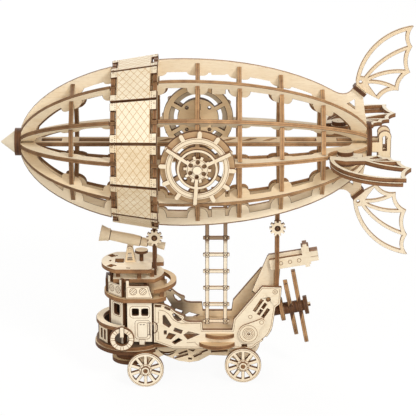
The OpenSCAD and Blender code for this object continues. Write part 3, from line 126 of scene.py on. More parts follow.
# The open envelope.
# Keels, stringers and a spine board, slotted over seven rings between the nose and tail discs,
# all laser-cut from three-layer basswood: pale grained faces, and edges burnt darkest mid-layer.
ALONG, UPRIGHT = (1.0, 7.0, 7.0), (7.0, 7.0, 1.0)
PALE, WARM = (0.88, 0.755, 0.56), (0.78, 0.61, 0.395)
LIGHT_BURN, DARK_BURN = (0.40, 0.20, 0.085), (0.10, 0.038, 0.014)
BUMP_DEPTH = 0.0002
NOSE_FADE = (-0.08, 0.01)

def group_with(name, ins, outs):
    tree = bpy.data.node_groups.new(name, "ShaderNodeTree")
    for label, kind, value in ins:
        socket = tree.interface.new_socket(label, in_out="INPUT", socket_type=kind)
        if value is not None:
            socket.default_value = value
    for label, kind in outs:
        tree.interface.new_socket(label, in_out="OUTPUT", socket_type=kind)
    return tree, tree.nodes.new("NodeGroupInput"), tree.nodes.new("NodeGroupOutput")

def noise(tree, vector, scale, detail, rough):
    node = tree.nodes.new("ShaderNodeTexNoise")
    node.inputs["Scale"].default_value = scale
    node.inputs["Detail"].default_value = detail
    node.inputs["Roughness"].default_value = rough
    tree.links.new(vector, node.inputs["Vector"])
    return node.outputs["Fac"]

def ramp(tree, fac, stops):
    node = tree.nodes.new("ShaderNodeValToRGB")
    while len(node.color_ramp.elements) < len(stops):
        node.color_ramp.elements.new(0.5)
    for element, (place, colour) in zip(node.color_ramp.elements, stops):
        element.position = place
        element.color = (*colour, 1)
    tree.links.new(fac, node.inputs["Fac"])
    return node.outputs["Color"]

def remap(tree, value, start, end, first=0.0, last=1.0):
    node = tree.nodes.new("ShaderNodeMapRange")
    for label, number in (("From Min", start), ("From Max", end), ("To Min", first), ("To Max", last)):
        node.inputs[label].default_value = number
    tree.links.new(value, node.inputs["Value"])
    return node.outputs["Result"]

def mix(tree, fac, a, b, blend="MIX"):
    node = tree.nodes.new("ShaderNodeMix")
    node.data_type = "RGBA"
    node.blend_type = blend
    if isinstance(fac, float):
        node.inputs["Factor"].default_value = fac
    else:
        tree.links.new(fac, node.inputs["Factor"])
    for value, socket in ((a, node.inputs["A"]), (b, node.inputs["B"])):
        if isinstance(value, tuple):
            socket.default_value = (*value, 1)
        else:
            tree.links.new(value, socket)
    return node.outputs["Result"]

def rough_bump(tree, shader, height, strength):
    bump = tree.nodes.new("ShaderNodeBump")
    bump.inputs["Strength"].default_value = strength
    bump.inputs["Distance"].default_value = BUMP_DEPTH
    tree.links.new(height, bump.inputs["Height"])
    tree.links.new(bump.outputs["Normal"], shader.inputs["Normal"])

def read_attribute(tree, name, socket):
    node = tree.nodes.new("ShaderNodeAttribute")
    node.attribute_name = name
    tree.links.new(node.outputs["Fac"], socket)

grain, g_in, g_out = group_with("basswood_grain", [
    ("Vector", "NodeSocketVector", None), ("Tone", "NodeSocketFloat", 0.5),
    ("Pale", "NodeSocketColor", (*PALE, 1)), ("Warm", "NodeSocketColor", (*WARM, 1))],
    [("Color", "NodeSocketColor"), ("Roughness", "NodeSocketFloat"), ("Height", "NodeSocketFloat")])
fibre = noise(grain, g_in.outputs["Vector"], scale=90, detail=6, rough=0.65)
cloud = noise(grain, g_in.outputs["Vector"], scale=14, detail=3, rough=0.5)
pores = noise(grain, g_in.outputs["Vector"], scale=330, detail=2, rough=0.5)
streak = math_node(grain, "ADD", math_node(grain, "MULTIPLY", fibre, 0.55),
                   math_node(grain, "MULTIPLY", cloud, 0.45))
board_tone = math_node(grain, "SUBTRACT", g_in.outputs["Tone"], 0.5)
shade = math_node(grain, "ADD", streak, math_node(grain, "MULTIPLY", board_tone, 0.35))
wood = mix(grain, remap(grain, shade, 0.36, 0.68), g_in.outputs["Pale"], g_in.outputs["Warm"])
dark_pores = ramp(grain, pores, [(0.3, (0.86, 0.8, 0.72)), (0.46, (1, 1, 1))])
grain.links.new(mix(grain, 0.55, wood, dark_pores, "MULTIPLY"), g_out.inputs["Color"])
grain.links.new(remap(grain, fibre, 0.0, 1.0, 0.58, 0.74), g_out.inputs["Roughness"])
grain.links.new(math_node(grain, "ADD", fibre, math_node(grain, "MULTIPLY", pores, 0.5)),
                g_out.inputs["Height"])

def face_material(name, stretch, pale=PALE, warm=WARM):
    mat, tree, shader = new_material(name)
    coord = tree.nodes.new("ShaderNodeTexCoord")
    place = tree.nodes.new("ShaderNodeMapping")
    place.inputs["Scale"].default_value = stretch
    tree.links.new(coord.outputs["Object"], place.inputs["Vector"])
    use = tree.nodes.new("ShaderNodeGroup")
    use.node_tree = grain
    tree.links.new(place.outputs["Vector"], use.inputs["Vector"])
    read_attribute(tree, "tone", use.inputs["Tone"])
    use.inputs["Pale"].default_value = (*pale, 1)
    use.inputs["Warm"].default_value = (*warm, 1)
    tree.links.new(use.outputs["Color"], shader.inputs["Base Color"])
    tree.links.new(use.outputs["Roughness"], shader.inputs["Roughness"])
    rough_bump(tree, shader, use.outputs["Height"], 0.12)
    shader.inputs["Specular IOR Level"].default_value = 0.3
    return mat

burn, b_in, b_out = group_with("laser_burn", [
    ("Vector", "NodeSocketVector", None), ("Layer", "NodeSocketFloat", 0.5),
    ("Light", "NodeSocketColor", (*LIGHT_BURN, 1)), ("Dark", "NodeSocketColor", (*DARK_BURN, 1))],
    [("Color", "NodeSocketColor"), ("Height", "NodeSocketFloat")])
smoke = noise(burn, b_in.outputs["Vector"], scale=120, detail=5, rough=0.6)
streaks = noise(burn, b_in.outputs["Vector"], scale=900, detail=2, rough=0.5)
LAYER_CHAR = ((0.0, 0.55), (0.1, 0.2), (0.3, 0.25), (0.38, 0.75),
              (0.62, 0.75), (0.7, 0.25), (0.9, 0.2), (1.0, 0.55))
layers = ramp(burn, b_in.outputs["Layer"], [(place, (char,) * 3) for place, char in LAYER_CHAR])
depth = math_node(burn, "ADD", math_node(burn, "MULTIPLY", smoke, 0.9),
                  math_node(burn, "MULTIPLY", layers, 0.45))
depth = math_node(burn, "ADD", depth, math_node(burn, "MULTIPLY", streaks, 0.25))
burn.links.new(mix(burn, remap(burn, depth, 0.5, 1.15), b_in.outputs["Light"], b_in.outputs["Dark"]),
               b_out.inputs["Color"])
burn.links.new(depth, b_out.inputs["Height"])

def edge_material(name, light, dark, fade=False):
    mat, tree, shader = new_material(name)
    coord = tree.nodes.new("ShaderNodeTexCoord")
    use = tree.nodes.new("ShaderNodeGroup")
    use.node_tree = burn
    tree.links.new(coord.outputs["Object"], use.inputs["Vector"])
    read_attribute(tree, "layer", use.inputs["Layer"])
    use.inputs["Light"].default_value = (*light, 1)
    use.inputs["Dark"].default_value = (*dark, 1)
    colour = use.outputs["Color"]
    if fade:
        axes = tree.nodes.new("ShaderNodeSeparateXYZ")
        tree.links.new(coord.outputs["Object"], axes.inputs[0])
        clear = remap(tree, axes.outputs["X"], *NOSE_FADE)
        dim = ramp(tree, clear, [(0.0, (0.5, 0.46, 0.42)), (1.0, (1, 1, 1))])
        colour = mix(tree, 1.0, colour, dim, "MULTIPLY")
    tree.links.new(colour, shader.inputs["Base Color"])
    rough_bump(tree, shader, use.outputs["Height"], 0.15)
    shader.inputs["Roughness"].default_value = 0.62
    shader.inputs["Specular IOR Level"].default_value = 0.25
    return mat

along_x = face_material("basswood_along", ALONG)
along_z = face_material("basswood_upright", UPRIGHT)
deck_face = face_material("basswood_deck", ALONG, (0.82, 0.65, 0.42), (0.70, 0.50, 0.28))
# The bottom keel gets a darker copy of the wood: painted shade under the envelope.
low_shaded_face = face_material("basswood_low_painted_shade", ALONG, (0.78, 0.64, 0.46), (0.67, 0.51, 0.325))
keel_face = face_material("basswood_keel", ALONG, (0.85, 0.725, 0.535), (0.75, 0.585, 0.38))
burnt_edge = edge_material("burnt_edge", (0.36, 0.18, 0.075), (0.085, 0.032, 0.012))
rail_edge = edge_material("rail_edge", (0.60, 0.35, 0.165), (0.17, 0.075, 0.03), fade=True)
dark_edge = edge_material("dark_burnt_edge", (0.155, 0.064, 0.023), (0.034, 0.012, 0.005))
# A near-black finish painted on inner faces as shade, for insides that lie in shadow.
inside_shade = edge_material("painted_shade_inside", (0.07, 0.036, 0.017), (0.022, 0.01, 0.005))
burnt_rim = edge_material("burnt_rim", (0.16, 0.07, 0.028), (0.046, 0.018, 0.007))

# A node is loose triangles; those that share corners belong to one solid.
def solids_of(mesh):
    corners = np.empty(len(mesh.vertices) * 3)
    mesh.vertices.foreach_get("co", corners)
    corners = corners.reshape(-1, 3)
    half_microns = np.round(corners * 2e6).astype(np.int64)
    keys, spot = np.unique(half_microns, axis=0, return_inverse=True)
    spot = spot.reshape(-1)
    loops = np.empty(len(mesh.loops), dtype=np.int64)
    mesh.loops.foreach_get("vertex_index", loops)
    tris = spot[loops].reshape(-1, 3)
    label = np.arange(len(keys))
    while True:
        low = label[tris].min(axis=1)
        fresh = label.copy()
        for k in range(3):
            np.minimum.at(fresh, tris[:, k], low)
        fresh = fresh[fresh]
        if (fresh == label).all():
            break
        label = fresh
    return corners, spot, loops.reshape(-1, 3), label[tris[:, 0]], label

# Triangles along a board's sheet get its face finish, the others its burnt edge. Faces that look
# towards the upright line at X = inside, in millimetres, get the inner finish, by default painted
# shade.
FACE, EDGE, INNER, RIM = range(4)
HALF_SPACE = np.array([0.31, 0.52, 0.79])
FLAT_ENOUGH = 0.94
RIM_WIDTH, RIM_ANGLE, WELD_GAP = 0.00035, 50, 1e-6

def dress(name, face=along_x, edge=burnt_edge, turned=False, rim=RIM_WIDTH, inside=None, inner=inside_shade):
    node = frame["nodes"][name]
    mesh = node.data
    mesh.materials.clear()
    for mat in (face, edge, inner, burnt_rim):
        mesh.materials.append(mat)
    corners, spot, loops, owner, label = solids_of(mesh)
    a, b, c = (corners[loops[:, k]] for k in range(3))
    cross = np.cross(b - a, c - a)
    size = np.linalg.norm(cross, axis=1) + 1e-15
    normal = cross / size[:, None]
    slot = np.full(len(loops), FACE, dtype=np.int32)
    tone = np.zeros(len(loops), dtype=np.float32)
    layer = np.full(len(corners), 0.5, dtype=np.float32)
    for number, solid in enumerate(np.unique(owner)):
        mine = owner == solid
        upper = normal[mine] * np.where((normal[mine] @ HALF_SPACE)[:, None] < 0, -1, 1)
        ways, which = np.unique(np.round(upper, 2), axis=0, return_inverse=True)
        area = np.bincount(which.reshape(-1), weights=size[mine])
        sheet = ways[area.argmax()] / np.linalg.norm(ways[area.argmax()])
        if not turned:
            slot[mine] = np.where(np.abs(normal[mine] @ sheet) > FLAT_ENOUGH, FACE, EDGE)
        tone[mine] = 0.5 + 0.5 * math.sin(len(name) * 5.1 + number * 2.7 + ord(name[0]))
        points = label[spot] == solid
        high = corners[points] @ sheet
        layer[points] = (high - high.min()) / max(1e-6, high.max() - high.min())
    if inside:
        out = (a + b + c) / 3 * [1, 1, 0] - [inside / 1000, 0, 0]
        slot[(slot == FACE) & ((normal * out).sum(axis=1) < 0)] = INNER
    mesh.polygons.foreach_set("material_index", slot)
    mesh.polygons.foreach_set("use_smooth", np.zeros(len(loops), dtype=bool))
    mesh.attributes.new("tone", "FLOAT", "FACE").data.foreach_set("value", tone)
    mesh.attributes.new("layer", "FLOAT", "POINT").data.foreach_set("value", layer)
    weld = node.modifiers.new("joined", "WELD")
    weld.merge_threshold = WELD_GAP
    rounded = node.modifiers.new("burnt_rim", "BEVEL")
    rounded.width = rim
    rounded.segments = 1
    rounded.limit_method = "ANGLE"
    rounded.angle_limit = math.radians(RIM_ANGLE)
    rounded.material = RIM

dress("bottom_keel", low_shaded_face, rail_edge)
dress("top_keel", keel_face, rail_edge)
for row in ("shoulder", "upper", "side", "lower", "belly"):
    dress(f"{row}_stringers", along_x, rail_edge)
for number in range(1, 8):
    dress(f"ring_{number}", along_z, burnt_edge if number in (2, 3) else rail_edge)
dress("spine", deck_face, rail_edge)
dress("nose_cone", along_x, turned=True)
dress("nose_disc", along_z, dark_edge)
dress("tail_disc", along_z, dark_edge)
dress("tail_bracket", along_z)

# The band round the front third.
# Twelve flat basswood plates, each engraved with a net of diamonds inside a stitched border and a
# rivet at every corner, notched at both ends over the teeth of two rings.
joints = {joint["name"]: joint for joint in frame["joints"]}

def joint_at(name):
    return np.array(joints[name]["pos_m"]) * 1000

AXIS_Z = joint_at("near_helm_spin")[2]
NET_PITCH, NET_LEAN, NET_END, NET_WIDTH = 5.3, 0.74, 11.6, 0.42
STITCH_PITCH = 1.5
NET_COLOUR, STITCH_COLOUR, INK = (0.54, 0.31, 0.11), (0.22, 0.1, 0.035), 0.9
# Tones of the band plates by the up-tilt of each plate: painted light and shade.
PLATE_SHADE_TONES = ((-0.97, -0.7, -0.26, 0.26, 0.7, 0.97), (0.7, 0.2, 0.95, 0.05, 0.25, 0.2))
RIVET_R, RIVET_IN = 0.7, (1.7, 2.6)
net_face = face_material("basswood_net", ALONG, (0.90, 0.785, 0.59), (0.71, 0.525, 0.3))
tree = net_face.node_tree
shader = tree.nodes["Principled BSDF"]
plate_map = tree.nodes.new("ShaderNodeUVMap")
plate_map.uv_map = "plate"
axes = tree.nodes.new("ShaderNodeSeparateXYZ")
tree.links.new(plate_map.outputs["UV"], axes.inputs[0])
along, across = axes.outputs["X"], axes.outputs["Y"]

def near_to(value, middle, width):
    close = math_node(tree, "COMPARE", value, middle)
    close.node.inputs[2].default_value = width
    return close

def net_line(slope):
    lean = math_node(tree, "ADD", along, math_node(tree, "MULTIPLY", across, slope))
    saw = math_node(tree, "FRACT", math_node(tree, "DIVIDE", lean, NET_PITCH), 0.0)
    return near_to(saw, 0.5, NET_WIDTH / NET_PITCH / 2)

reach = math_node(tree, "ABSOLUTE", along, 0.0)
crossed = math_node(tree, "MAXIMUM", net_line(NET_LEAN), net_line(-NET_LEAN))
net = math_node(tree, "MULTIPLY", crossed, math_node(tree, "LESS_THAN", reach, NET_END))
beat = math_node(tree, "FRACT", math_node(tree, "DIVIDE", across, STITCH_PITCH), 0.0)
stitch = math_node(tree, "MULTIPLY", near_to(reach, NET_END + 1.3, 0.3),
                   math_node(tree, "LESS_THAN", beat, 0.5))
drawn = math_node(tree, "MAXIMUM", net, near_to(reach, NET_END + 0.1, 0.18))
plain = shader.inputs["Base Color"].links[0].from_socket
netted = mix(tree, math_node(tree, "MULTIPLY", drawn, INK), plain, NET_COLOUR)
stitched = mix(tree, math_node(tree, "MULTIPLY", stitch, INK), netted, STITCH_COLOUR)
tree.links.new(stitched, shader.inputs["Base Color"])
dress("band_plates", net_face, dark_edge)
char_line = edge_material("char_line", (0.37, 0.195, 0.08), (0.16, 0.07, 0.025))

# A line is a thread of char half sunk in its board; its points and width are in millimetres.
def engraved(name, body, lines, width=0.36, mat=char_line):
    bpy.ops.object.select_all(action="DESELECT")
    curve = bpy.data.curves.new(name, "CURVE")
    curve.dimensions = "3D"
    curve.bevel_depth = width / 2000
    curve.bevel_resolution = 0
    for points, closed in lines:
        spline = curve.splines.new("POLY")
        spline.points.add(len(points) - 1)
        spline.use_cyclic_u = closed
        for point, place in zip(spline.points, points):
            point.co = (*(c / 1000 for c in place), 1)
    piece = bpy.data.objects.new(name, curve)
    scene.collection.objects.link(piece)
    bpy.context.view_layer.objects.active = piece
    piece.select_set(True)
    bpy.ops.object.convert(target="MESH")
    piece = bpy.context.object
    piece.data.materials.clear()
    piece.data.materials.append(mat)
    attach(piece, body)

def on(place, *lines):
    return [([place(u, v) for u, v in points], closed) for points, closed in lines]

def ring_line(u, v, r, count=24):
    turns = [math.tau * i / count for i in range(count)]
    return ([(u + r * math.cos(turn), v + r * math.sin(turn)) for turn in turns], True)

def lay_plates(name):
    mesh = frame["nodes"][name].data
    corners, _, loops, owner, _ = solids_of(mesh)
    chart = np.zeros((len(mesh.loops), 2), dtype=np.float32)
    tone = np.zeros(len(loops), dtype=np.float32)
    rivets = []
    for solid in np.unique(owner):
        here = corners[loops[owner == solid]] * 1000
        cross = np.cross(here[:, 1] - here[:, 0], here[:, 2] - here[:, 0])
        here = here.reshape(-1, 3)
        middle = (here.max(axis=0) + here.min(axis=0)) / 2
        out = cross[(cross @ np.array([0, middle[1], middle[2] - AXIS_Z])).argmax()]
        out = out / np.linalg.norm(out)
        # Painted light and shade: the plate's tone follows which way it faces.
        tone[owner == solid] = np.interp(out[2], *PLATE_SHADE_TONES)
        run = np.array([1.0, 0, 0]) - out * out[0]
        run = run / np.linalg.norm(run)
        side = np.cross(out, run)
        flat = here - middle
        chart[np.repeat(owner == solid, 3)] = np.stack((flat @ run, flat @ side), axis=1)
        top = middle + out * (flat @ out).max()
        far_u, far_v = (flat @ run).max() - RIVET_IN[0], (flat @ side).max() - RIVET_IN[1]
        rivets += on(lambda u, v: tuple(top + run * u + side * v),
                     *(ring_line(a * far_u, b * far_v, RIVET_R, 10) for a in (-1, 1) for b in (-1, 1)))
    mesh.uv_layers.new(name="plate").data.foreach_set("uv", chart.reshape(-1))
    mesh.attributes["tone"].data.foreach_set("value", tone)
    return rivets

engraved("band_rivets", "frame", lay_plates("band_plates"), width=0.3)

# The tail fins.
# Bat-wing boards with curved ribs: the upright pair stands on slotted collars,
# the side pair lies flat and swings on pins under thick washers.
SIDES = ((-1, "near"), (1, "far"))
FIN_PIVOT, FIN_TURN, FIN_SEAM_Z = joint_at("far_fin_swing"), math.radians(7), 176.6
FIN_ARC, FIN_ARC_R, FIN_ARC_SPAN = (36.2, 4.6), 46.8, 98
ACROSS = (7.0, 1.0, 7.0)
upright_face = face_material("basswood_upright_fin", UPRIGHT, (0.84, 0.71, 0.525), (0.74, 0.58, 0.385))
side_face = face_material("basswood_side_fin", ACROSS, (0.93, 0.82, 0.64), (0.86, 0.71, 0.5))
pale_edge = edge_material("pale_edge", (0.72, 0.5, 0.28), (0.34, 0.19, 0.085))
side_edge = edge_material("side_fin_edge", (0.29, 0.135, 0.053), (0.065, 0.024, 0.009))
for name in ("top_fin", "bottom_fin"):
    dress(name, upright_face, pale_edge, rim=0.0002)
for name in ("near_fin", "far_fin"):
    dress(name, side_face, side_edge)
dress("fin_collars", along_x, dark_edge)
dress("fin_pivots", along_x, dark_edge)
for side, label in SIDES:
    seam = []
    for i in range(33):
        a = math.radians(180 - FIN_ARC_SPAN * i / 32)
        u, v = FIN_ARC[0] + FIN_ARC_R * math.cos(a), FIN_ARC[1] + FIN_ARC_R * math.sin(a)
        x = FIN_PIVOT[0] + u * math.cos(FIN_TURN) - v * math.sin(FIN_TURN)
        y = FIN_PIVOT[1] + u * math.sin(FIN_TURN) + v * math.cos(FIN_TURN)
        seam.append((x, side * y, FIN_SEAM_Z))
    engraved(f"{label}_fin_seam", f"{label}_fin", [(seam, False)], width=0.6, mat=along_x)

# The helm wheels.
# On each side a spoked back plate on tongues of the middle ring, scorched and darkened with painted
# shade outside and brightened with painted light inside, and a ship's wheel with a toothed boss
# that turns on a headed pin; fine lines follow the rim.
RIM_LINES, BOSS_LINES = ((21.6, 72), (19.1, 72)), ((3.6, 32), (7.0, 48))
HELM_X = joint_at("near_helm_spin")[0]
scorched_shaded_face = face_material("basswood_scorched_and_shaded", ALONG, (0.52, 0.34, 0.18), (0.4, 0.235, 0.11))
# A near-white copy of the wood, painted light for the back plates' shadowed inner faces and the pin
# heads.
painted_light_face = face_material("basswood_painted_light", ALONG, (0.99, 0.82, 0.56), (0.93, 0.72, 0.45))
helm_face = face_material("basswood_helm", UPRIGHT, (0.82, 0.69, 0.5), (0.72, 0.555, 0.36))

def at_y(y):
    return lambda u, v: (u, y, v)

def middle_x(name):
    low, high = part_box(name)
    return (low[0] + high[0]) * 500

dress("helm_backs", scorched_shaded_face, dark_edge, inside=HELM_X, inner=painted_light_face)
dress("helm_pins", along_z, dark_edge)
for side, label in SIDES:
    hub_x = middle_x(f"{label}_helm")
    lines = []
    for name, rings in ((f"{label}_helm", RIM_LINES), (f"{label}_helm_boss", BOSS_LINES)):
        dress(name, helm_face)
        low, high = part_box(name)
        lines += on(at_y(side * max(-low[1], high[1]) * 1000),
                    *(ring_line(hub_x, AXIS_Z, r, count) for r, count in rings))
    engraved(f"{label}_helm_lines", f"{label}_helm", lines)

# The hanging boards and the ladder.
# Two forked struts carry the gondola, each with a toothed knob on a browned pin at its near edge;
# the ladder's rungs are pinned to its rails with round heads, and its top end is darkened with brown
# painted shade.
KNOB_R, FRONT_KNOB_Z, REAR_KNOB_Z = 5.9, 107.8, 115.2
RUNGS, RUNG_PITCH, RUNG_FIRST, RAIL_SPAN = 7, 13.05, 2.7, 13.4
KNOB_BORE, KNOB_CAP, KNOB_DEPTH = (1.9, 1.25, 0.6), (0.7, 0.25), 0.8
JOIN_HALF, RUNG_PIN_R, RUNG_HEAD_R = (1.45, 1.9), 1.0, 0.3
BRIGHT = ((0.95, 0.845, 0.665), (0.88, 0.73, 0.525))
PAINTED_SHADE_TINT, BROWN_TINT = (0.05, 0.025, 0.012), (0.28, 0.145, 0.06)
bright_x = face_material("basswood_bright_along", ALONG, *BRIGHT)

def near_y(name):
    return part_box(name)[0][1] * 1000

def box_line(u0, v0, u1, v1, r=0.0, count=5):
    if not r:
        return ([(u0, v0), (u1, v0), (u1, v1), (u0, v1)], True)
    points = []
    for cu, cv, start in ((u1 - r, v0 + r, -90), (u1 - r, v1 - r, 0),
                          (u0 + r, v1 - r, 90), (u0 + r, v0 + r, 180)):
        for i in range(count):
            a = math.radians(start + 90 * i / (count - 1))
            points.append((cu + r * math.cos(a), cv + r * math.sin(a)))
    return (points, True)

# Paints shade into a finish: tints it where X, Z or the distance from the middle in Y, in metres,
# nears dark_at.
def shaded(mat, depth, tint=PAINTED_SHADE_TINT, **limits):
    tree = mat.node_tree
    shader = tree.nodes["Principled BSDF"]
    coord = tree.nodes.new("ShaderNodeTexCoord")
    axes = tree.nodes.new("ShaderNodeSeparateXYZ")
    tree.links.new(coord.outputs["Object"], axes.inputs[0])
    amount = depth
    for axis, (dark_at, clear_at) in limits.items():
        place = axes.outputs[axis]
        if axis == "Y":
            place = math_node(tree, "ABSOLUTE", place, 0.0)
        fall = remap(tree, place, dark_at, clear_at, 1.0, 0.0)
        amount = math_node(tree, "MULTIPLY", fall, amount)
    plain = shader.inputs["Base Color"].links[0].from_socket
    tree.links.new(mix(tree, amount, plain, tint), shader.inputs["Base Color"])
    return mat

dress("front_strut", along_z, dark_edge)
dress("rear_strut", along_z, burnt_edge)
dress("strut_knobs", bright_x)
knob_low, knob_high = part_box("strut_knobs")
knob_y = near_y("strut_knobs")
for label, x, z in (("front", knob_low[0] * 1000 + KNOB_R, FRONT_KNOB_Z),
                    ("rear", knob_high[0] * 1000 - KNOB_R, REAR_KNOB_Z)):
    bore = [ring_line(x, z, r, 16) for r in KNOB_BORE]
    cap = [ring_line(x, z, r, 12) for r in KNOB_CAP]
    bore_lines, cap_lines = on(at_y(knob_y + KNOB_DEPTH), *bore), on(at_y(knob_y), *cap)
    engraved(f"{label}_knob_lines", "frame", bore_lines, width=0.7, mat=dark_edge)
    engraved(f"{label}_knob_pin", "frame", cap_lines, width=0.6, mat=burnt_edge)
ladder_face = face_material("basswood_ladder", UPRIGHT, (0.97, 0.88, 0.72), (0.91, 0.78, 0.58))
# Painted shade: the ladder turns brown towards its top end, under the envelope.
shaded(ladder_face, 0.8, BROWN_TINT, Z=(0.1015, 0.0985))
dress("ladder", ladder_face, pale_edge)
ladder_front = at_y(near_y("ladder"))
joins, heads = [], []
for i in range(RUNGS):
    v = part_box("ladder")[0][2] * 1000 + RUNG_FIRST + RUNG_PITCH * i
    for s in (-1, 1):
        u = middle_x("ladder") + s * RAIL_SPAN / 2
        plate = box_line(u - JOIN_HALF[0], v - JOIN_HALF[1], u + JOIN_HALF[0], v + JOIN_HALF[1])
        joins += on(ladder_front, ring_line(u, v, RUNG_PIN_R, 12), plate)
        heads += on(ladder_front, ring_line(u, v, RUNG_HEAD_R, 8))
engraved("ladder_pins", "frame", joins, width=0.5, mat=dark_edge)
# The pin heads are pale dots in the painted-light finish: a painted highlight.
engraved("ladder_heads", "frame", heads, width=0.8, mat=painted_light_face)

# The hull.
# Two sweeping side boards with lattice windows, vents and a burnt border line,
# the floor and decks slotted between them, steps, and a round engine cover on each side.
SHADE = ((0.66, 0.46, 0.26), (0.52, 0.33, 0.17))
UNDER_BRIDGE = (-0.020, -0.009)
PAINTED_SHADE_DEPTH, BORDER_IN, HULL_MIDDLE = 0.85, -1.3, 1.0
ENGINE, COVER_BOLT = (31.5, 37.8), (41.0, 46.8)
shade_face = face_material("basswood_shade", ALONG, *SHADE)
# Painted shade: the hull sides' inner faces darken under the bridge and low down, seen through the
# lattice.
hull_inside = shaded(face_material("basswood_hull_inside", ALONG), PAINTED_SHADE_DEPTH,
                     X=(-0.018, -0.008), Z=(0.046, 0.058))
# Painted shade: the floor and the well deck darken under the bridge.
floor_face = shaded(face_material("basswood_well", ALONG, *SHADE), PAINTED_SHADE_DEPTH, X=UNDER_BRIDGE)
well_face = shaded(face_material("basswood_well_deck", ALONG, (0.88, 0.72, 0.5), (0.77, 0.59, 0.38)),
                   PAINTED_SHADE_DEPTH, X=UNDER_BRIDGE)
dress("hull_sides", along_x, inside=HULL_MIDDLE, inner=hull_inside)
dress("floor_board", floor_face)
dress("well_deck", well_face)
dress("stern_boards", shade_face)
dress("steps", deck_face)
dress("engine_covers", along_x)
dress("chassis", along_x)

def stroke(*points):
    return (list(points), False)

def bent(a, b, c, count=8):
    return [tuple(a[k] * (1 - t) ** 2 + b[k] * 2 * t * (1 - t) + c[k] * t * t for k in (0, 1))
            for t in (i / count for i in range(count + 1))]

def inset(points, depth):
    made = []
    for i, p in enumerate(points):
        q, r = points[i - 1], points[(i + 1) % len(points)]
        n1 = (q[1] - p[1], p[0] - q[0])
        n2 = (p[1] - r[1], r[0] - p[0])
        n1 = (n1[0] / math.hypot(*n1), n1[1] / math.hypot(*n1))
        n2 = (n2[0] / math.hypot(*n2), n2[1] / math.hypot(*n2))
        k = depth / max(0.45, 1 + n1[0] * n2[0] + n1[1] * n2[1])
        made.append((p[0] + (n1[0] + n2[0]) * k, p[1] + (n1[1] + n2[1]) * k))
    return made

hull_edge = [
    *bent((-38.3, 61), (-29.5, 61), (-24.6, 56.6)),
    *bent((-24.6, 56.6), (-20.5, 52.4), (-16.2, 51.4))[1:],
    (-15.5, 50.2), (-16.3, 48.4), (-14.2, 47), (-11, 46.5), (-2.7, 46.5), (-2.1, 40.2),
    (19.3, 40.2), (20.5, 48.5), (41, 74), (55.6, 73.5), (54.6, 60.4), (51.2, 57.7),
    *bent((49.2, 42.8), (47, 34), (38.5, 29)),
    (34, 25.3), (-24.3, 25.3), (-31, 28), (-36.5, 30), (-38.3, 30)]
hull_lines = [
    (inset(hull_edge, BORDER_IN), True),
    ring_line(50.8, 69.8, 1.7), ring_line(50.8, 69.8, 0.7, 12), ring_line(32.7, 50.3, 1.3, 16),
    stroke(*bent((-34.6, 55.6), (-29, 55.6), (-26.0, 51.0)),
           *bent((-26.0, 51.0), (-23.4, 46.0), (-17, 45.3))[1:], (-3.6, 45.3)),
    stroke((-34.6, 54.6), (-34.6, 46), (-36.4, 44.6), (-36.4, 39.6), (-34.6, 38.2), (-34.6, 32.4)),
    stroke((-14, 30.0), (-8, 30.4), (-6, 28), (6, 28))]
latch_lines = [stroke((-38.0, 46.4), (-36.4, 45.4), (-35.4, 43.6),
                      (-35.4, 40.2), (-36.4, 38.4), (-38.0, 37.4))]
engine_lines = [ring_line(*ENGINE, r, 36) for r in (2.2, 3.3, 4.4, 6.5)]
engine_lines.append(ring_line(*COVER_BOLT, 1.5, 20))
for side, label in SIDES:
    board = at_y(-side * near_y("hull_sides"))
    cover = at_y(-side * near_y("engine_covers"))
    engraved(f"{label}_hull_lines", "frame", on(board, *hull_lines))
    engraved(f"{label}_latch", "frame", on(board, *latch_lines), width=0.7, mat=dark_edge)
    engraved(f"{label}_engine_lines", "frame", on(cover, *engine_lines))

# The bow.
# A round plate with a chin under it, a slotted bulwark under a curved rail,
# and a life buoy that hangs on a strap with bands round it.
BOW_MIDDLE = -55.0
BUOY_Z, BUOY_SEAM_R, BUOY_BAND = 35.5, 8.6, (5.1, 9.0)
BAND_ANGLES, BAND_HALF = (0, 45, 135, 180, 225, 270, 315), 8
STRAP_PROUD = 2.0
bright_z = face_material("basswood_bright_upright", UPRIGHT, *BRIGHT)
dress("bow_plate", deck_face, dark_edge)
dress("bow_rail", bright_x)
# The bow walls' inner faces get the painted-shade inside finish.
dress("bow_walls", bright_z, dark_edge, inside=BOW_MIDDLE)
dress("life_buoy", bright_x)
buoy_x = middle_x("life_buoy")
bands = [ring_line(buoy_x, BUOY_Z, BUOY_SEAM_R, 40)]
for angle in BAND_ANGLES:
    for lean in (-BAND_HALF, BAND_HALF):
        a = math.radians(angle + lean)
        ends = [(buoy_x + r * math.cos(a), BUOY_Z + r * math.sin(a)) for r in BUOY_BAND]
        bands.append(stroke(*ends))
engraved("buoy_bands", "frame", on(at_y(near_y("life_buoy") + STRAP_PROUD), *bands))

# The tower.
# Upright panels slotted round the bow end of the hull, with cut windows in engraved frames
# and an engraved door with hinges and a handle on each side panel.
TOWER_MIDDLE, TOWER_SLANT, HALF_PLY = -53.0, (-64.3, 13.9), 1.5
# Painted shade: the front and slanted panels darken low down inside the bow's well;
tower_face = shaded(face_material("basswood_tower", UPRIGHT, *BRIGHT), PAINTED_SHADE_DEPTH,
                    Y=(0.0180, 0.0184), Z=(0.036, 0.046))
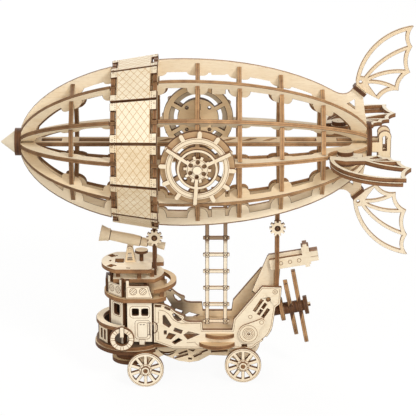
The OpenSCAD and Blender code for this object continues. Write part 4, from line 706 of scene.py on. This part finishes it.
# the tower walls' inner faces get the painted-shade inside finish.
dress("tower_walls", tower_face, dark_edge, inside=TOWER_MIDDLE)
door_lines = [box_line(-51.9, 32.9, -40.7, 47.6, 2.2), box_line(-50.0, 34.0, -42.8, 45.9, 1.6),
              box_line(-55.6, 49.4, -40.9, 58.6, 2.4), box_line(-48.9, 28.4, -44.5, 32.6)]
hinge_lines = [stroke((-42.9, 45.6), (-40.2, 45.6)), stroke((-42.9, 36.2), (-40.2, 36.2)),
               stroke((-41.4, 45.6), (-41.4, 36.2)),
               stroke((-48.4, 44.2), (-47.0, 44.2)), stroke((-46.2, 44.2), (-44.8, 44.2))]
window_lines = [box_line(-4.4, 48.8, 4.4, 59.4, 1.8),
                ring_line(-5.2, 60.4, 0.5, 8), ring_line(5.2, 60.4, 0.5, 8)]

def on_slant(side, x, y):
    half = math.sqrt(0.5)
    return lambda u, v: (x - half * (u + HALF_PLY), side * (y - half * (u - HALF_PLY)), v)

for side, label in SIDES:
    wall = at_y(-side * near_y("tower_walls"))
    slant = on_slant(side, *TOWER_SLANT)
    engraved(f"{label}_door_lines", "frame", on(wall, *door_lines) + on(slant, *window_lines))
    engraved(f"{label}_hinges", "frame", on(wall, *hinge_lines), width=0.55, mat=dark_edge)

# The bridge.
# A balcony with an open rear rail, low walls with hatched portholes and raised posts,
# and the bridge and top decks slotted on small posts.
BRIDGE_SLANT = (-65.5, 15.2)
PORTHOLE_R, PORTHOLE_INSET, HATCH, DIAGONAL = 2.6, 0.4, (-1.4, 0, 1.4), 0.707
dress("balcony", deck_face)
# The bridge walls' inner faces get the painted-shade inside finish.
dress("bridge_walls", bright_x, dark_edge, inside=TOWER_MIDDLE)
dress("upper_decks", bright_x)

def porthole(u, v):
    lines = [ring_line(u, v, PORTHOLE_R, 20)]
    for k in HATCH:
        half = math.sqrt((PORTHOLE_R - PORTHOLE_INSET) ** 2 - k * k)
        lines.append(stroke(*((u + (k + end) * DIAGONAL, v + (end - k) * DIAGONAL)
                              for end in (-half, half))))
    return lines

wall_lines = [*porthole(-52.9, 70.6), *porthole(-45.9, 70.6),
              ([(-57.4, 66), (-40.2, 66), (-42.6, 74), (-57.4, 74)], True)]
slant_wall_lines = [*porthole(-3.4, 70.4), *porthole(3.4, 70.4), box_line(-6.7, 66, 6.7, 74)]
for side, label in SIDES:
    wall = at_y(-side * near_y("bridge_walls"))
    slant = on_slant(side, *BRIDGE_SLANT)
    lines = on(wall, *wall_lines) + on(slant, *slant_wall_lines)
    engraved(f"{label}_porthole_lines", "frame", lines, width=0.4)

# The telescope.
# A turned and stepped wooden tube whose lug hangs on a pin between two braced cheeks,
# which are slotted in the top deck beside a stool on a short post.
TUBE_TILT, TUBE_OVER_PIN = math.radians(12.4), 6.8
TUBE_STEPS = ((16.4, 3.8), (-6.5, 3.3), (-12.0, 2.7))
barrel_face = face_material("basswood_barrel", ALONG, (0.84, 0.685, 0.475), (0.73, 0.56, 0.36))
dress("telescope", barrel_face, turned=True)
dress("scope_stand", along_z, dark_edge)
ahead = np.array([-math.cos(TUBE_TILT), 0.0, math.sin(TUBE_TILT)])
upward = np.array([math.sin(TUBE_TILT), 0.0, math.cos(TUBE_TILT)])
tube_at = joint_at("telescope_tilt") + upward * TUBE_OVER_PIN
# Dark rings at the tube's steps: painted shade where each step drops.
steps = []
for along_tube, r in TUBE_STEPS:
    middle = tube_at + ahead * along_tube
    steps += on(lambda u, v: tuple(middle + upward * u + np.array([0.0, v, 0.0])),
                ring_line(0, 0, r, 32))
engraved("telescope_steps", "telescope", steps, width=0.7, mat=dark_edge)

# The stern gun.
# A middle board between riveted cheeks, slotted in the stern plate,
# with a flange and a muzzle cut in one with them.
GUN_AT, GUN_SLOPE = (47, 85.8), math.tan(math.radians(9.5))
GUN_RIVETS, GUN_RIVET_R, GUN_RIVET_DROP = (55.4, 62.0, 68.7), 1.35, 1.2
dress("stern_gun", along_x)
gun_lines = []
for u in GUN_RIVETS:
    v = GUN_AT[1] + (u - GUN_AT[0]) * GUN_SLOPE - GUN_RIVET_DROP
    gun_lines.append(ring_line(u, v, GUN_RIVET_R, 20))
gun_lines.append(stroke((77.2, 91.0), (82.6, 91.9)))
for side, label in SIDES:
    cheek = at_y(-side * near_y("stern_gun"))
    engraved(f"{label}_gun_lines", "frame", on(cheek, *gun_lines), width=0.4)

# The propeller.
# Flat blade plates, a disc, spacers and a nut stacked on a sloped wooden shaft
# that runs in the stern's bearing board; the edges of the hub get the darkest edge finish.
HUB_R = 8.6
dress("propeller", along_z, rail_edge)
dress("prop_shaft", along_x, dark_edge)
along_shaft = np.array(joints["propeller_spin"]["axis"])
for face in frame["nodes"]["propeller"].data.polygons:
    away = np.array(face.center) * 1000 - joint_at("propeller_spin")
    from_shaft = np.linalg.norm(away - along_shaft * (away @ along_shaft))
    if face.material_index == EDGE and from_shaft < HUB_R:
        face.material_index = RIM

# The wheels.
# Spoked basswood discs with a round riveted cap, pressed on wooden axles
# that turn in the chassis boards.
AXLE_Z, CAP_PROUD = joint_at("front_axle_spin")[2], 2.0
TREAD_LINE, CAP_LINE = (12.4, 60), (4.5, 30)
CAP_RIVETS, CAP_RIVET_RING, CAP_RIVET_R = 8, 3.75, 0.3
axle_face = face_material("basswood_across", ACROSS)
for label in ("front", "rear"):
    dress(f"{label}_wheels", bright_x)
    dress(f"{label}_axle", axle_face)
    low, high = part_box(f"{label}_wheels")
    hub_x = middle_x(f"{label}_wheels")
    rings = [ring_line(hub_x, AXLE_Z, r, count) for r, count in (TREAD_LINE, CAP_LINE)]
    for u, v in ring_line(0, 0, 1, 2 * CAP_RIVETS)[0][1::2]:
        x, z = hub_x + CAP_RIVET_RING * u, AXLE_Z + CAP_RIVET_RING * v
        rings.append(ring_line(x, z, CAP_RIVET_R, 6))
    lines = []
    for face_y in (low[1] * 1000 + CAP_PROUD, high[1] * 1000 - CAP_PROUD):
        lines += on(at_y(face_y), *rings)
    engraved(f"{label}_wheel_lines", f"{label}_wheel_set", lines)
